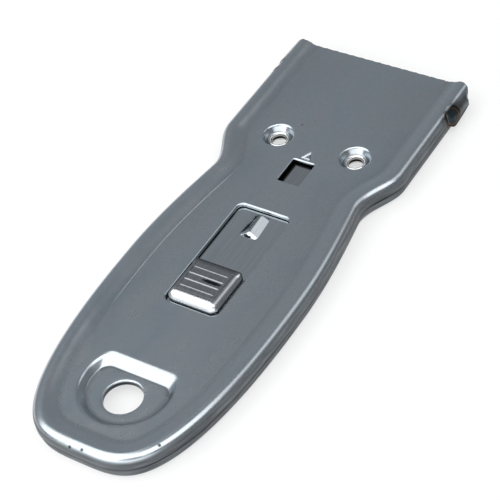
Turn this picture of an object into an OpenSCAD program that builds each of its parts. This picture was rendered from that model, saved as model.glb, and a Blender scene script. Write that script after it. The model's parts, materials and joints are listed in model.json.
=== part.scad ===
// Retractable razor blade scraper: two pressed steel shells, a sliding blade carrier on a
// flat latch spring, a ribbed thumb button and a single-edge blade with a folded spine.
// Millimetres. X runs across, +Y points to the mouth where the blade comes out, +Z is up,
// and the origin is under the middle of the housing.

/* [Blade] */
// Width of the single-edge blade
blade_width = 38.1; // [32:0.1:42]
// Depth of the blade from the back of its spine to the cutting edge
blade_depth = 19; // [17:0.5:21]
// Thickness of the blade steel
blade_sheet = 0.23; // [0.2:0.01:0.3]
// Length of the ground bevel on each side of the edge
bevel_length = 1.2; // [0.8:0.1:2]
// Depth of the folded spine
spine_depth = 5; // [4:0.1:6]
// Thickness of the folded spine
spine_thickness = 1; // [0.9:0.05:1.3]
// Distance of the retracted edge behind the mouth
edge_setback = 4; // [3:0.5:7]
// Travel of the blade from retracted to latched out
blade_travel = 17.5; // [15:0.1:18.5]

/* [Housing] */
// Length from the mouth to the butt
housing_length = 125; // [122:1:140]
// Room from each end of the blade to the outer side of the head
head_room = 3.85; // [3.2:0.05:4.8]
// Width at the waist behind the head
waist_width = 37.4; // [35:0.2:41]
// Width of the handle where it is widest
handle_width = 43.2; // [40:0.2:47]
// Straight length of the head from the mouth
head_length = 32; // [30:0.5:36]
// Length of the shoulder from the head to the waist
shoulder_length = 13.3; // [10:0.1:16]
// Distance from the butt to the widest place of the handle
grip_length = 50.6; // [44:0.2:54]
// Thickness of the shell steel
shell_sheet = 0.75; // [0.6:0.05:0.85]
// Height of the rim above the flat panel
rim_rise = 1; // [0.8:0.1:1.4]
// Outside radius of the rim
rim_radius = 2; // [1.4:0.1:2.2]
// Width from the outer wall to the edge of the flat panel
rim_band = 6; // [5:0.1:6.6]
// Width of the seam between the two shells
seam_gap = 0.2; // [0.1:0.05:0.3]
// Step from the upper shell's wall in to the lower shell's wall
seam_step = 0.3; // [0.2:0.05:0.5]
// Running gap between the slide and each shell
run_gap = 0.25; // [0.2:0.05:0.4]

/* [Eyelets] */
// Distance between the two eyelets
eyelet_spacing = 19.8; // [19:0.1:22]
// Bore of an eyelet
eyelet_bore = 3.4; // [2.6:0.1:3.6]
// Wall of an eyelet's barrel
eyelet_sheet = 0.45; // [0.35:0.05:0.5]
// Diameter of an eyelet's rolled flange
eyelet_flange = 5; // [4.8:0.1:5.4]
// Distance from the eyelet's dimple to the back of the retracted carrier
eyelet_gap = 3.5; // [3:0.1:5]

/* [Slide] */
// Thickness of the carrier steel
carrier_sheet = 0.6; // [0.5:0.05:0.7]
// Clearance of the spine in the carrier's channel
spine_fit = 0.1; // [0.05:0.01:0.15]
// Width of each lip that holds the spine from below
lip_width = 9; // [6:0.5:12]
// Length of the tab that carries the latch spring
tab_length = 11; // [9:0.5:12]
// Diameter of a latch rivet
rivet_d = 2.4; // [2:0.1:2.6]
// Distance between the two latch rivets
rivet_spacing = 5.6; // [4.6:0.1:6]
// Length of the latch spring behind the thumb slot
spring_overhang = 3; // [2:0.5:4]

/* [Thumb slot and latch] */
// Width of the thumb slot
slot_width = 13; // [11.8:0.1:13.8]
// Corner radius of the thumb slot
slot_corner = 1.4; // [0.8:0.1:2]
// Distance from the eyelets' centres back to the front of the slot
slot_behind_eyelets = 22.2; // [21.8:0.1:24]
// Width of the latch bump
bump_width = 4.6; // [3:0.1:5]
// Length of the latch bump
bump_length = 6.8; // [5:0.1:7.4]
// Height of the latch bump above the spring
bump_height = 1.15; // [1:0.05:1.4]
// Gap between the bump and the front of the slot
bump_lead = 0.9; // [0.5:0.1:1.5]
// Gap around the bump in the latch window, at the sides
window_side_gap = 0.4; // [0.3:0.05:1]
// Gap around the bump in the latch window, at the ends
window_end_gap = 0.2; // [0.15:0.05:0.5]
// Width of the stamped arrow
arrow_width = 2.6; // [2:0.1:3.2]
// Length of the stamped arrow
arrow_length = 3; // [2.4:0.1:3.4]

/* [Thumb button] */
// Length of the thumb button
button_length = 11.7; // [10:0.1:12.5]
// Height of the button above the panel
button_rise = 1.5; // [1.2:0.1:2]
// Gap between the button and each side of the slot
button_side_gap = 0.4; // [0.3:0.05:0.9]
// Gap between the retracted button and the rear of the slot
button_rear_gap = 0.35; // [0.3:0.05:0.8]
// Gap between the advanced button and the front of the slot
button_front_gap = 1.2; // [0.3:0.05:1.6]
// Number of ridges across the button
ridge_count = 4; // [2:1:5]
// Distance from one ridge to the next
ridge_pitch = 1.9; // [1.4:0.05:2]
// Radius of the rolled rear edge
button_roll = 2; // [1.2:0.1:2.2]
// Radius of the rounded flanks
button_flank = 1.6; // [1:0.1:1.8]

/* [Hanging end] */
// Diameter of the hang hole
hang_hole_d = 8.3; // [7:0.1:9.5]
// Distance from the butt to the middle of the hang hole
hang_setback = 16.2; // [15.4:0.1:18]
// Radius of the round rear of the recess
recess_radius = 8.6; // [8.2:0.1:9.2]
// Distance from the hang hole's middle to the straight front of the recess
recess_front = 5.7; // [5.2:0.1:6.4]
// Run of the sloping front wall of the recess
recess_slope = 3; // [2:0.1:4]

/* [Spot welds] */
// Diameter of the weld's dent
weld_d = 3; // [2:0.1:3.4]
// Length of the upper shell's tab at each weld
weld_tab = 10.5; // [8:0.5:16]
// Distance from the mouth to the front of the tab
weld_tab_setback = 1; // [0.5:0.1:4]
// Distance from the middle of the weld to the rear of the tab
weld_setback = 1.9; // [1.6:0.1:4]

/* [Hidden] */
$fn = 64;
eps = 0.01;
// How far a cutter reaches past what it cuts
over = 1;

// Heights of the stack between the two panels, from which the housing takes its thickness
stack = spine_thickness + 2 * (spine_fit + carrier_sheet + run_gap);
thickness = stack + 2 * (shell_sheet + rim_rise);
mid = thickness / 2;
panel_inner = stack / 2;
panel_outer = panel_inner + shell_sheet;
slide_top = panel_inner - run_gap;
slide_under = slide_top - carrier_sheet;

// Places along the housing
mouth_y = housing_length / 2;
butt_y = -housing_length / 2;
spine_y = mouth_y - edge_setback - blade_depth;
carrier_back = spine_y - spine_fit - carrier_sheet;
carrier_front = spine_y + spine_depth;

// Eyelet, its dimple and the boss that the dimple makes on the inside
eyelet_r = eyelet_bore / 2 + eyelet_sheet;
eyelet_fit = 0.05;
flange_room = 0.1;
dimple_taper = 1.3;
boss_wall = 1.2;
dimple_floor_r = eyelet_flange / 2 + flange_room;
dimple_mouth_r = dimple_floor_r + dimple_taper;
boss_r = dimple_floor_r + boss_wall;
eyelet_y = carrier_back - eyelet_gap - boss_r;

// Thumb slot, bump, window and button
slot_front = eyelet_y - slot_behind_eyelets;
slot_length = button_rear_gap + button_length + blade_travel + button_front_gap;
slot_rear = slot_front - slot_length;
bump_front = slot_front - bump_lead;
bump_rear = bump_front - bump_length;
window_width = bump_width + 2 * window_side_gap;
window_rear = bump_rear + blade_travel - window_end_gap;
window_front = bump_front + blade_travel + window_end_gap;
button_rear = slot_rear + button_rear_gap;
button_front = button_rear + button_length;
button_width = slot_width - 2 * button_side_gap;
button_top = panel_outer + button_rise;
button_seat_gap = 0.05;
ridge_r = 0.4;
ridge_proud = 0.28;
first_ridge = 2.4;

// Recess at the hanging end; recess_back is how far its round rear is centred before the hole
hang_y = butt_y + hang_setback;
recess_back = 2;
recess_corner = 2.5;
recess_side_run = 1.8;
recess_wall = 0.35;
recess_depth = panel_outer - shell_sheet;
recess_edge = hang_y + recess_front + recess_slope + recess_wall;

// Slide sizes, kept clear of the dimples and of the recess
side_clear = 0.4;
stem_half = eyelet_spacing / 2 - boss_r - side_clear;
spring_cover = 2.2;
spring_half = slot_width / 2 + spring_cover;
spring_shoulder = eyelet_y - boss_r - side_clear - blade_travel;
spring_rear = max(slot_rear - spring_overhang, recess_edge + side_clear);
spring_corner = 2;
rivet_y = carrier_back - tab_length / 2;
rivet_fit = 0.05;
rivet_head_lip = 0.5;
rivet_head_r = rivet_d / 2 + rivet_head_lip;
rivet_head_h = 0.45;

// Outline of the housing
head_half = blade_width / 2 + head_room;
waist_half = waist_width / 2;
handle_half = handle_width / 2;
head_rear = mouth_y - head_length;
waist_y = head_rear - shoulder_length;
widest_y = butt_y + grip_length;
butt_shape = [2.4, 3.6];
head_steps = 3;
shoulder_steps = 10;
handle_steps = 7;
butt_steps = 16;

// Profile of the rim
rim_land = 0.06;
rim_arc_steps = 4;
rim_slope_steps = 5;

// Points of an arc around c, from angle a to angle b, in the given number of steps
function arc(c, r, a, b, steps) =
    [for (i = [0 : steps]) let (t = a + (b - a) * i / steps) c + r * [cos(t), sin(t)]];

// Cubic blend from value a with slope da to value b with slope db, for t from 0 to 1
function blend(a, da, b, db, t) =
    a * (2 * t^3 - 3 * t^2 + 1) + b * (3 * t^2 - 2 * t^3) + da * (t^3 - 2 * t^2 + t) + db * (t^3 - t^2);

// Half of the plan outline, from the corner of the mouth round to the middle of the butt
waist_slope = (handle_half - waist_half) * (PI / 2) / (waist_y - widest_y) * shoulder_length;
half_outline = concat(
    [for (i = [0 : head_steps - 1]) [head_half, mouth_y - head_length * i / head_steps]],
    [for (i = [0 : shoulder_steps - 1]) let (t = i / shoulder_steps)
        [blend(head_half, 0, waist_half, waist_slope, t), head_rear - shoulder_length * t]],
    [for (i = [0 : handle_steps - 1]) let (t = i / handle_steps)
        [waist_half + (handle_half - waist_half) * sin(90 * t), waist_y + (widest_y - waist_y) * t]],
    [for (i = [0 : butt_steps]) let (a = 90 * i / butt_steps)
        [handle_half * pow(cos(a), 2 / butt_shape[1]),
         widest_y - grip_length * pow(sin(a), 2 / butt_shape[0])]]
);
last = len(half_outline) - 1;

// Unit vector pointing into the housing at point k of the half outline
function inward(k) =
    k == 0 ? [-1, 0] :
    k == last ? [0, 1] :
    let (d = half_outline[k + 1] - half_outline[k - 1]) [d[1], -d[0]] / norm(d);

// Section of the rim as [inset, height] pairs, from the seam up over the crest to the panel
crest = mid + rim_land;
function rim_drop(u) = (rim_rise + rim_land) * (1 - cos(180 * u)) / 2;
slope_insets = [for (i = [1 : rim_slope_steps]) rim_radius + (rim_band - rim_radius) * i / rim_slope_steps];
slope_heights = [for (i = [1 : rim_slope_steps]) crest - rim_drop(i / rim_slope_steps)];
rim_centre = [rim_radius, crest - rim_radius];
outer_section = concat(
    [[0, seam_gap / 2]],
    arc(rim_centre, rim_radius, 180, 90, rim_arc_steps),
    [for (i = [0 : rim_slope_steps - 1]) [slope_insets[i], slope_heights[i]]]
);
inner_section = concat(
    [[shell_sheet, seam_gap / 2]],
    arc(rim_centre, rim_radius - shell_sheet, 180, 90, rim_arc_steps),
    [for (i = [0 : rim_slope_steps - 1]) [slope_insets[i], slope_heights[i] - shell_sheet]]
);
sections = [outer_section, inner_section];
tip = len(outer_section) - 1;

// Number of the point at outline place k, side s (0 right, 1 left), skin (0 outer, 1 inner)
// and section place j. The two sides share their points at the middle of the butt.
function spot(k, s, skin, j) = ((2 * k + (k == last ? 0 : s)) * 2 + skin) * (tip + 1) + j;

function skin_points(inset) =
    [for (k = [0 : last], s = k == last ? [0] : [0, 1], skin = [0, 1], j = [0 : tip])
        let (p = half_outline[k] + inward(k) * (inset + sections[skin][j][0]))
        [s == 0 ? p[0] : -p[0], p[1], sections[skin][j][1]]];

// Two triangles for a four-cornered patch, turned over on request
function patch(a, b, c, d, turn) = turn ? [[a, c, b], [a, d, c]] : [[a, b, c], [a, c, d]];

function skin_faces() = [
    for (k = [0 : last - 1], s = [0, 1], skin = [0, 1], j = [0 : tip - 1])
        each patch(spot(k, s, skin, j), spot(k + 1, s, skin, j), spot(k + 1, s, skin, j + 1),
                   spot(k, s, skin, j + 1), (s + skin) % 2 == 1),
    for (k = [0 : last - 1], s = [0, 1])
        each patch(spot(k, s, 0, 0), spot(k, s, 1, 0), spot(k + 1, s, 1, 0), spot(k + 1, s, 0, 0), s == 1),
    for (k = [0 : last - 2], skin = [0, 1])
        each patch(spot(k, 0, skin, tip), spot(k + 1, 0, skin, tip), spot(k + 1, 1, skin, tip),
                   spot(k, 1, skin, tip), skin == 1),
    for (skin = [0, 1])
        let (a = spot(last - 1, 0, skin, tip), b = spot(last, 0, skin, tip), c = spot(last - 1, 1, skin, tip))
        skin == 0 ? [a, b, c] : [a, c, b],
    for (s = [0, 1], j = [0 : tip - 1])
        each patch(spot(0, s, 0, j), spot(0, s, 0, j + 1), spot(0, s, 1, j + 1), spot(0, s, 1, j), s == 1),
    each patch(spot(0, 0, 0, tip), spot(0, 1, 0, tip), spot(0, 1, 1, tip), spot(0, 0, 1, tip), false)
];

// Pressed dish with a raised rim, open at the mouth, its seam edge at height 0
module dish(inset) {
    polyhedron(points = skin_points(inset), faces = skin_faces(), convexity = 6);
}

// Outline of the recess at the hanging end: straight in front, round behind
function recess_outline(front_grow, side_grow) =
    let (r = recess_radius + side_grow,
         c = [0, hang_y + recess_back],
         rise = recess_front - recess_back + front_grow - recess_corner,
         run = sqrt((r - recess_corner)^2 - rise^2),
         a = atan2(rise, run))
    concat(arc(c + [run, rise], recess_corner, 90, a, 6),
           arc(c, r, a, -180 - a, 30),
           arc(c + [-run, rise], recess_corner, 180 - a, 90, 6));

// Tapered block with the recess's slopes between two heights; wall widens it all round
module recess_block(low, high, drop, wall) {
    hull() {
        for (h = [low, high]) {
            grow = (h + drop - shell_sheet) / recess_depth;
            translate([0, 0, h == high ? h - eps : h])
                linear_extrude(eps)
                    polygon(recess_outline(recess_slope * grow + wall, recess_side_run * grow + wall));
        }
    }
}

// Both eyelet places
module at_eyelets() {
    for (x = [-1, 1] * eyelet_spacing / 2) {
        translate([x, eyelet_y, 0]) children();
    }
}

// A shell before its own cuts: the dish with its dimples, hanging recess and holes
module pressed_shell(inset) {
    difference() {
        union() {
            dish(inset);
            recess_block(0, panel_inner + shell_sheet / 2, shell_sheet, recess_wall);
            at_eyelets() cylinder(r = boss_r, h = panel_inner + shell_sheet / 2);
        }
        recess_block(shell_sheet, panel_outer + shell_sheet / 2, 0, 0);
        at_eyelets() {
            translate([0, 0, shell_sheet])
                cylinder(r1 = dimple_floor_r, r2 = dimple_mouth_r, h = recess_depth + eps);
            translate([0, 0, -over])
                cylinder(r = eyelet_r + eyelet_fit, h = panel_outer + over);
        }
        translate([0, hang_y, -over])
            cylinder(d = hang_hole_d, h = panel_outer + over);
    }
}

// Rectangle with round corners, made of exact solids
module rounded_block(w, l, r, h) {
    translate([-w / 2, -l / 2 + r, 0]) cube([w, l - 2 * r, h]);
    translate([-w / 2 + r, -l / 2, 0]) cube([w - 2 * r, l, h]);
    for (x = [-1, 1], y = [-1, 1]) {
        translate([x * (w / 2 - r), y * (l / 2 - r), 0]) cylinder(r = r, h = h);
    }
}

// Tabs of the upper shell that lap over the lower shell's walls beside the mouth, with a
// sloping face that carries the dent of the spot weld
weld_depth = 0.25;
tab_drop = 1.4;
tab_slope_low = 0.6;
tab_slope_high = 2.7;
tab_bite = 0.9 * shell_sheet;
tab_rear = mouth_y - weld_tab_setback - weld_tab;
module weld_tabs() {
    run = shell_sheet + tab_bite;
    rise = tab_slope_high - tab_slope_low;
    lean = atan2(rise, run);
    section = [
        [-tab_bite, seam_gap / 2], [0, seam_gap / 2], [0, -tab_drop], [shell_sheet, -tab_drop],
        [shell_sheet, tab_slope_low], [-tab_bite, tab_slope_high]
    ];
    for (s = [0, 1]) {
        mirror([s, 0, 0]) translate([head_half, tab_rear, 0]) difference() {
            translate([0, weld_tab, 0]) rotate([90, 0, 0]) linear_extrude(weld_tab) polygon(section);
            translate([shell_sheet - run / 2, weld_setback, tab_slope_low + rise / 2])
                rotate([0, lean, 0]) translate([0, 0, -weld_depth]) cylinder(d = weld_d, h = over);
        }
    }
}

// Upper shell: thumb slot, latch window, stamped arrow and welded tabs
arrow_depth = 0.25;
arrow_gap = 0.35;
module top_shell() {
    cut = 2 * shell_sheet;
    color("lightsteelblue") translate([0, 0, mid]) difference() {
        union() {
            pressed_shell(0);
            weld_tabs();
        }
        translate([0, (slot_front + slot_rear) / 2, panel_outer - cut])
            rounded_block(slot_width, slot_length, slot_corner, 2 * cut);
        translate([-window_width / 2, window_rear, panel_outer - cut])
            cube([window_width, window_front - window_rear, 2 * cut]);
        translate([0, window_front + arrow_gap, panel_outer - arrow_depth])
            linear_extrude(over)
                polygon([[-arrow_width / 2, 0], [arrow_width / 2, 0], [0, arrow_length]]);
        translate([-head_half, butt_y, mid]) cube([2 * head_half, housing_length, over]);
    }
}

// Lower shell: the same pressing turned over, stepped in from the upper one
module bottom_shell() {
    color("lightsteelblue") translate([0, 0, mid]) difference() {
        mirror([0, 0, 1]) pressed_shell(seam_step);
        translate([-head_half, butt_y, -mid - over]) cube([2 * head_half, housing_length, over]);
    }
}

// Hollow rivet with a rolled flange at each end, seated on the two dimple floors
flange_height = 0.4;
flange_edge = 0.15;
funnel = 0.6;
function eyelet_flare() = [
    [eyelet_bore / 2, shell_sheet],
    [eyelet_bore / 2 + funnel / 3, shell_sheet + flange_height * 2 / 3],
    [eyelet_bore / 2 + funnel, shell_sheet + flange_height],
    [eyelet_flange / 2 - flange_edge, shell_sheet + flange_height - flange_edge],
    [eyelet_flange / 2, shell_sheet],
    [eyelet_r, shell_sheet]
];
module eyelet() {
    upper = eyelet_flare();
    lower = [for (i = [len(upper) - 1 : -1 : 0]) [upper[i][0], -upper[i][1]]];
    color("whitesmoke") translate([0, eyelet_y, mid]) rotate_extrude() polygon(concat(upper, lower));
}
module left_eyelet() translate([-eyelet_spacing / 2, 0, 0]) eyelet();
module right_eyelet() translate([eyelet_spacing / 2, 0, 0]) eyelet();

// The two rivets between the latch spring and the carrier's tab
module at_rivets() {
    for (x = [-1, 1] * rivet_spacing / 2) {
        translate([x, rivet_y, 0]) children();
    }
}

// Countersunk rivet body; grow widens it into the hole that it fills
countersink = 0.3;
module rivet_body(grow) {
    translate([0, 0, slide_under - carrier_sheet])
        cylinder(d = rivet_d + 2 * grow, h = 2 * carrier_sheet);
    translate([0, 0, slide_top - countersink])
        cylinder(r1 = rivet_d / 2 + grow, r2 = rivet_d / 2 + countersink + grow, h = countersink);
}

// Folded channel that grips the blade's spine, with a tab behind it for the latch spring
module blade_carrier() {
    half = blade_width / 2 + spine_fit;
    full = half + carrier_sheet;
    floor_z = -slide_top;
    color("silver") translate([0, 0, mid]) difference() {
        union() {
            translate([-full, carrier_back, slide_under])
                cube([2 * full, carrier_front - carrier_back, carrier_sheet]);
            translate([-full, carrier_back, floor_z])
                cube([2 * full, carrier_sheet, slide_top - floor_z]);
            for (s = [-1, 1]) {
                translate([s * (half + carrier_sheet / 2), (carrier_back + carrier_front) / 2, 0])
                    cube([carrier_sheet, carrier_front - carrier_back, 2 * slide_top], center = true);
                translate([s * (full - lip_width / 2), (carrier_back + carrier_front) / 2,
                           floor_z + carrier_sheet / 2])
                    cube([lip_width, carrier_front - carrier_back, carrier_sheet], center = true);
            }
            translate([-stem_half, carrier_back - tab_length, slide_under - carrier_sheet])
                cube([2 * stem_half, tab_length + eps, carrier_sheet]);
        }
        at_rivets() rivet_body(rivet_fit);
    }
}

// Lanced latch bump: a tapering tunnel with a sheared rear end and a ramped nose
bump_r = (bump_width^2 / 4 + bump_height^2) / (2 * bump_height);
bump_axis = slide_top + bump_height - bump_r;
bump_nose = 1.2;
bump_taper = 0.4;
bump_tip = 0.05;
module bump_solid(shrink, lead) {
    front_r = bump_r - bump_taper - shrink;
    tip_r = slide_top - bump_axis + bump_tip - shrink;
    translate([0, bump_rear, bump_axis]) rotate([-90, 0, 0]) rotate_extrude()
        polygon([[0, -lead], [bump_r - shrink, -lead], [front_r, bump_length - bump_nose],
                 [tip_r, bump_length], [0, bump_length]]);
}

// Flat spring under the thumb slot: wide plate, narrow stem to the carrier, latch bump
spring_seat_gap = 0.2;
module latch_spring() {
    front = carrier_back - spring_seat_gap;
    outline = [
        [-spring_half + spring_corner, spring_rear], [spring_half - spring_corner, spring_rear],
        [spring_half, spring_rear + spring_corner], [spring_half, spring_shoulder - spring_corner],
        [spring_half - spring_corner, spring_shoulder], [stem_half, spring_shoulder],
        [stem_half, front], [-stem_half, front], [-stem_half, spring_shoulder],
        [-spring_half + spring_corner, spring_shoulder], [-spring_half, spring_shoulder - spring_corner],
        [-spring_half, spring_rear + spring_corner]
    ];
    color("slategray") translate([0, 0, mid]) difference() {
        union() {
            translate([0, 0, slide_under]) linear_extrude(carrier_sheet) polygon(outline);
            intersection() {
                bump_solid(0, 0);
                translate([-bump_width, bump_rear, slide_under + eps])
                    cube([2 * bump_width, bump_length, 2 * bump_width]);
            }
        }
        bump_solid(carrier_sheet, over);
        at_rivets() rivet_body(rivet_fit);
    }
}

// Two rivets, flush with the spring and headed under the tab
module latch_rivets() {
    color("silver") translate([0, 0, mid]) at_rivets() {
        rivet_body(0);
        translate([0, 0, slide_under - carrier_sheet - rivet_head_h])
            cylinder(r = rivet_head_r, h = rivet_head_h);
    }
}

// Ribbed thumb button: a formed cap with a square front, round flanks, cross ridges and a
// rolled rear edge
button_sheet = 0.7;
button_corner = 1.5;
button_dip = 0.25;
button_steps = 8;
function button_side(shrink) =
    let (front = button_front - shrink, rear = button_rear + shrink,
         top = button_top - shrink, seat = slide_top + button_seat_gap - (shrink > 0 ? over : 0))
    concat([[rear, seat]],
           arc([rear + button_roll, top - button_roll], button_roll, 180, 90, button_steps),
           [[front, top - button_dip], [front, seat]]);
function button_cross(shrink) =
    let (half = button_width / 2 - shrink, r = button_flank - shrink, top = button_top - shrink)
    concat([[half, 0]], arc([half - r, top - r], r, 0, 90, button_steps),
           arc([r - half, top - r], r, 90, 180, button_steps), [[-half, 0]]);
module button_cap(shrink) {
    intersection() {
        translate([-button_width / 2, 0, 0])
            rotate([90, 0, 90]) linear_extrude(button_width) polygon(button_side(shrink));
        translate([0, button_front, 0])
            rotate([90, 0, 0]) linear_extrude(button_length) polygon(button_cross(shrink));
    }
}
module thumb_button() {
    ridge_half = button_width / 2 - button_flank;
    color("gainsboro") translate([0, 0, mid]) difference() {
        intersection() {
            union() {
                button_cap(0);
                for (i = [0 : ridge_count - 1]) {
                    y = button_front - first_ridge - ridge_pitch * i;
                    sink = button_dip * (1 - (button_front - y) / (button_length - button_roll));
                    translate([-ridge_half, y, button_top - sink + ridge_proud - ridge_r])
                        rotate([0, 90, 0]) cylinder(r = ridge_r, h = 2 * ridge_half);
                }
            }
            translate([0, (button_front + button_rear) / 2, 0])
                rounded_block(button_width, button_length, button_corner, button_top + over);
        }
        button_cap(button_sheet);
    }
}

// Single-edge blade with a ground bevel and its two end notches
notch_depth = 1.5;
notch_length = 3;
module razor_blade() {
    edge_y = spine_y + blade_depth;
    t = blade_sheet / 2;
    back_y = spine_y + (spine_thickness - blade_sheet) / 2;
    flat = 0.02;
    color("lightgray") translate([0, 0, mid]) difference() {
        translate([-blade_width / 2, 0, 0]) rotate([90, 0, 90]) linear_extrude(blade_width)
            polygon([[back_y, -t], [edge_y - bevel_length, -t], [edge_y, -flat], [edge_y, flat],
                     [edge_y - bevel_length, t], [back_y, t]]);
        for (s = [-1, 1]) {
            translate([s * blade_width / 2, spine_y + spine_depth + notch_length, 0])
                cube([2 * notch_depth, notch_length, over], center = true);
        }
    }
}

// Folded strip crimped over the back of the blade
crimp_fit = 0.02;
module blade_spine() {
    r = spine_thickness / 2;
    gap = blade_sheet / 2 + crimp_fit;
    fold = spine_y + r - blade_sheet / 2 - crimp_fit;
    color("gray") translate([0, 0, mid]) difference() {
        union() {
            translate([-blade_width / 2, spine_y + r, -r])
                cube([blade_width, spine_depth - r, spine_thickness]);
            translate([-blade_width / 2, spine_y + r, 0])
                rotate([0, 90, 0]) cylinder(r = r, h = blade_width);
        }
        translate([-blade_width, fold, -gap]) cube([2 * blade_width, spine_depth, 2 * gap]);
    }
}

top_shell();
bottom_shell();
left_eyelet();
right_eyelet();
blade_carrier();
latch_spring();
latch_rivets();
thumb_button();
razor_blade();
blade_spine();
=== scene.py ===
# Razor blade scraper: the finish and the formed surfaces of every piece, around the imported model
import json
import math

import bmesh
import bpy
from mathutils import Matrix, Vector
from mathutils.geometry import delaunay_2d_cdt


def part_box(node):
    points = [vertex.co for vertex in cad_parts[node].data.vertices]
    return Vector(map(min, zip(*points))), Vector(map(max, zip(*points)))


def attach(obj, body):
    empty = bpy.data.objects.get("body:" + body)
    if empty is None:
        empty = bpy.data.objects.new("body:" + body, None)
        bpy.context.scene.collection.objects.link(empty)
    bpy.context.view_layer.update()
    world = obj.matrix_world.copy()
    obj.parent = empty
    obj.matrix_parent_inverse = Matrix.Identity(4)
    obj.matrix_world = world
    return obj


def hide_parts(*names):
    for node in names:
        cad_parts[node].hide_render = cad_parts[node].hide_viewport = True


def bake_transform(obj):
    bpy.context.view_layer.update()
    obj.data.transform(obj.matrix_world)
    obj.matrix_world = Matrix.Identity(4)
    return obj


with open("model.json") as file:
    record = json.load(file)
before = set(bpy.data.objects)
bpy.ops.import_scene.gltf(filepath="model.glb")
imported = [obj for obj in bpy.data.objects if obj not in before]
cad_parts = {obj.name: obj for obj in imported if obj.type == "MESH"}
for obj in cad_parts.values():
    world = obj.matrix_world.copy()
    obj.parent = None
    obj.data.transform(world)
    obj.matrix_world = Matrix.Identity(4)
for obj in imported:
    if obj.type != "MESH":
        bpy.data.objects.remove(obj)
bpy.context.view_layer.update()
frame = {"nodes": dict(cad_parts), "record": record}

# Lower shell
# The under half of the housing: one pressing of sheet steel with a raised round rim, two eyelet
# dimples and a D-shaped recess round the hang hole. It is bright plated and lies on its rim.
MM = 0.001


def box_mm(node):
    """Lowest and highest corner of a node, in millimetres"""
    low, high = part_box(node)
    return low / MM, high / MM


upper_low, upper_high = box_mm("top_shell")
lower_high = box_mm("bottom_shell")[1]
eyelet_low, eyelet_high = box_mm("right_eyelet")

# Heights in the sheets below are counted from the seam, half way up the housing
SHELL_SHEET = 0.75
SEAM_GAP = 0.2
mid = upper_high.z / 2
mouth_y = upper_high.y
butt_y = upper_low.y
head_half = upper_high.x - SHELL_SHEET
seam_step = head_half - lower_high.x

WAIST_HALF = 18.7
HANDLE_HALF = 21.6
HEAD_LENGTH = 32
SHOULDER_LENGTH = 13.3
GRIP_LENGTH = 50.6
BUTT_LENGTHWISE = 2.4
BUTT_CROSSWISE = 3.6
head_rear = mouth_y - HEAD_LENGTH
waist_y = head_rear - SHOULDER_LENGTH
widest_y = butt_y + GRIP_LENGTH


def ramp(u, low, high):
    """Rise from 0 to 1 with a straight middle; low and high are the shares of its rounded ends"""
    u = min(max(u, 0), 1)
    slope = 1 / (1 - (low + high) / 2)
    if u < low:
        return slope * u * u / (2 * low)
    if u > 1 - high:
        return 1 - slope * (1 - u) ** 2 / (2 * high)
    return slope * (u - low / 2)


def quarter(steps, first=0):
    """Turns of a quarter circle, up to a right angle"""
    return [math.pi / 2 * i / steps for i in range(first, steps + 1)]


def shoulder_x(t):
    """Half width on the shoulder, from the head at t = 0 to the waist at t = 1"""
    waist_slope = (HANDLE_HALF - WAIST_HALF) * (math.pi / 2) / (waist_y - widest_y) * SHOULDER_LENGTH
    head_part = head_half * (2 * t ** 3 - 3 * t ** 2 + 1)
    return head_part + WAIST_HALF * (3 * t ** 2 - 2 * t ** 3) + waist_slope * (t ** 3 - t ** 2)


HEAD_STEPS = 96
SHOULDER_STEPS = 30
HANDLE_STEPS = 24
BUTT_STEPS = 60
half_outline = []
for i in range(HEAD_STEPS):
    half_outline.append(Vector((head_half, mouth_y - HEAD_LENGTH * i / HEAD_STEPS)))
for i in range(SHOULDER_STEPS):
    t = i / SHOULDER_STEPS
    half_outline.append(Vector((shoulder_x(t), head_rear - SHOULDER_LENGTH * t)))
for i in range(HANDLE_STEPS):
    t = i / HANDLE_STEPS
    swell = (HANDLE_HALF - WAIST_HALF) * math.sin(math.pi / 2 * t)
    half_outline.append(Vector((WAIST_HALF + swell, waist_y + (widest_y - waist_y) * t)))
for i in range(BUTT_STEPS):
    turn = math.pi / 2 * (1 - (1 - i / BUTT_STEPS) ** 2)
    across = HANDLE_HALF * math.cos(turn) ** (2 / BUTT_CROSSWISE)
    behind = GRIP_LENGTH * math.sin(turn) ** (2 / BUTT_LENGTHWISE)
    half_outline.append(Vector((across, widest_y - behind)))
half_outline.append(Vector((0, butt_y)))

inward = [Vector((-1, 0))]
for before, after in zip(half_outline, half_outline[2:]):
    along = (after - before).normalized()
    inward.append(Vector((along.y, -along.x)))
inward.append(Vector((0, 1)))

# Rim section: inset and height of the outer skin, then of the inner skin, from the seam over the
# crest and down a long slope to the small fold at the edge of the flat panel
RIM_RADIUS = 2
RIM_BAND = 6
RIM_RISE = 1
RIM_FLAT = 0.25
FOLD_RUN = 0.35
FOLD_DROP = 0.135
WALL_STEPS = 8
ARC_STEPS = 10
SLOPE_STEPS = 14
FOLD_STEPS = 4
panel_z = mid - RIM_RISE
wall_top = mid - RIM_RADIUS
slope_end = RIM_BAND - FOLD_RUN
inner_radius = RIM_RADIUS - SHELL_SHEET
rim_section = []
for i in range(WALL_STEPS):
    height = SEAM_GAP / 2 + (wall_top - SEAM_GAP / 2) * i / WALL_STEPS
    rim_section.append((0, height, SHELL_SHEET, height))
for from_wall in quarter(ARC_STEPS):
    turn = math.pi - from_wall
    rim_section.append((
        RIM_RADIUS * (1 + math.cos(turn)), wall_top + RIM_RADIUS * math.sin(turn),
        RIM_RADIUS + inner_radius * math.cos(turn), wall_top + inner_radius * math.sin(turn),
    ))
slope_line = []
for i in range(1, SLOPE_STEPS + 1):
    inset = RIM_RADIUS + (slope_end - RIM_RADIUS) * i / SLOPE_STEPS
    slope_line.append((inset, mid - (RIM_RISE - FOLD_DROP) * ramp(i / SLOPE_STEPS, 0.3, 0.12)))
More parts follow.
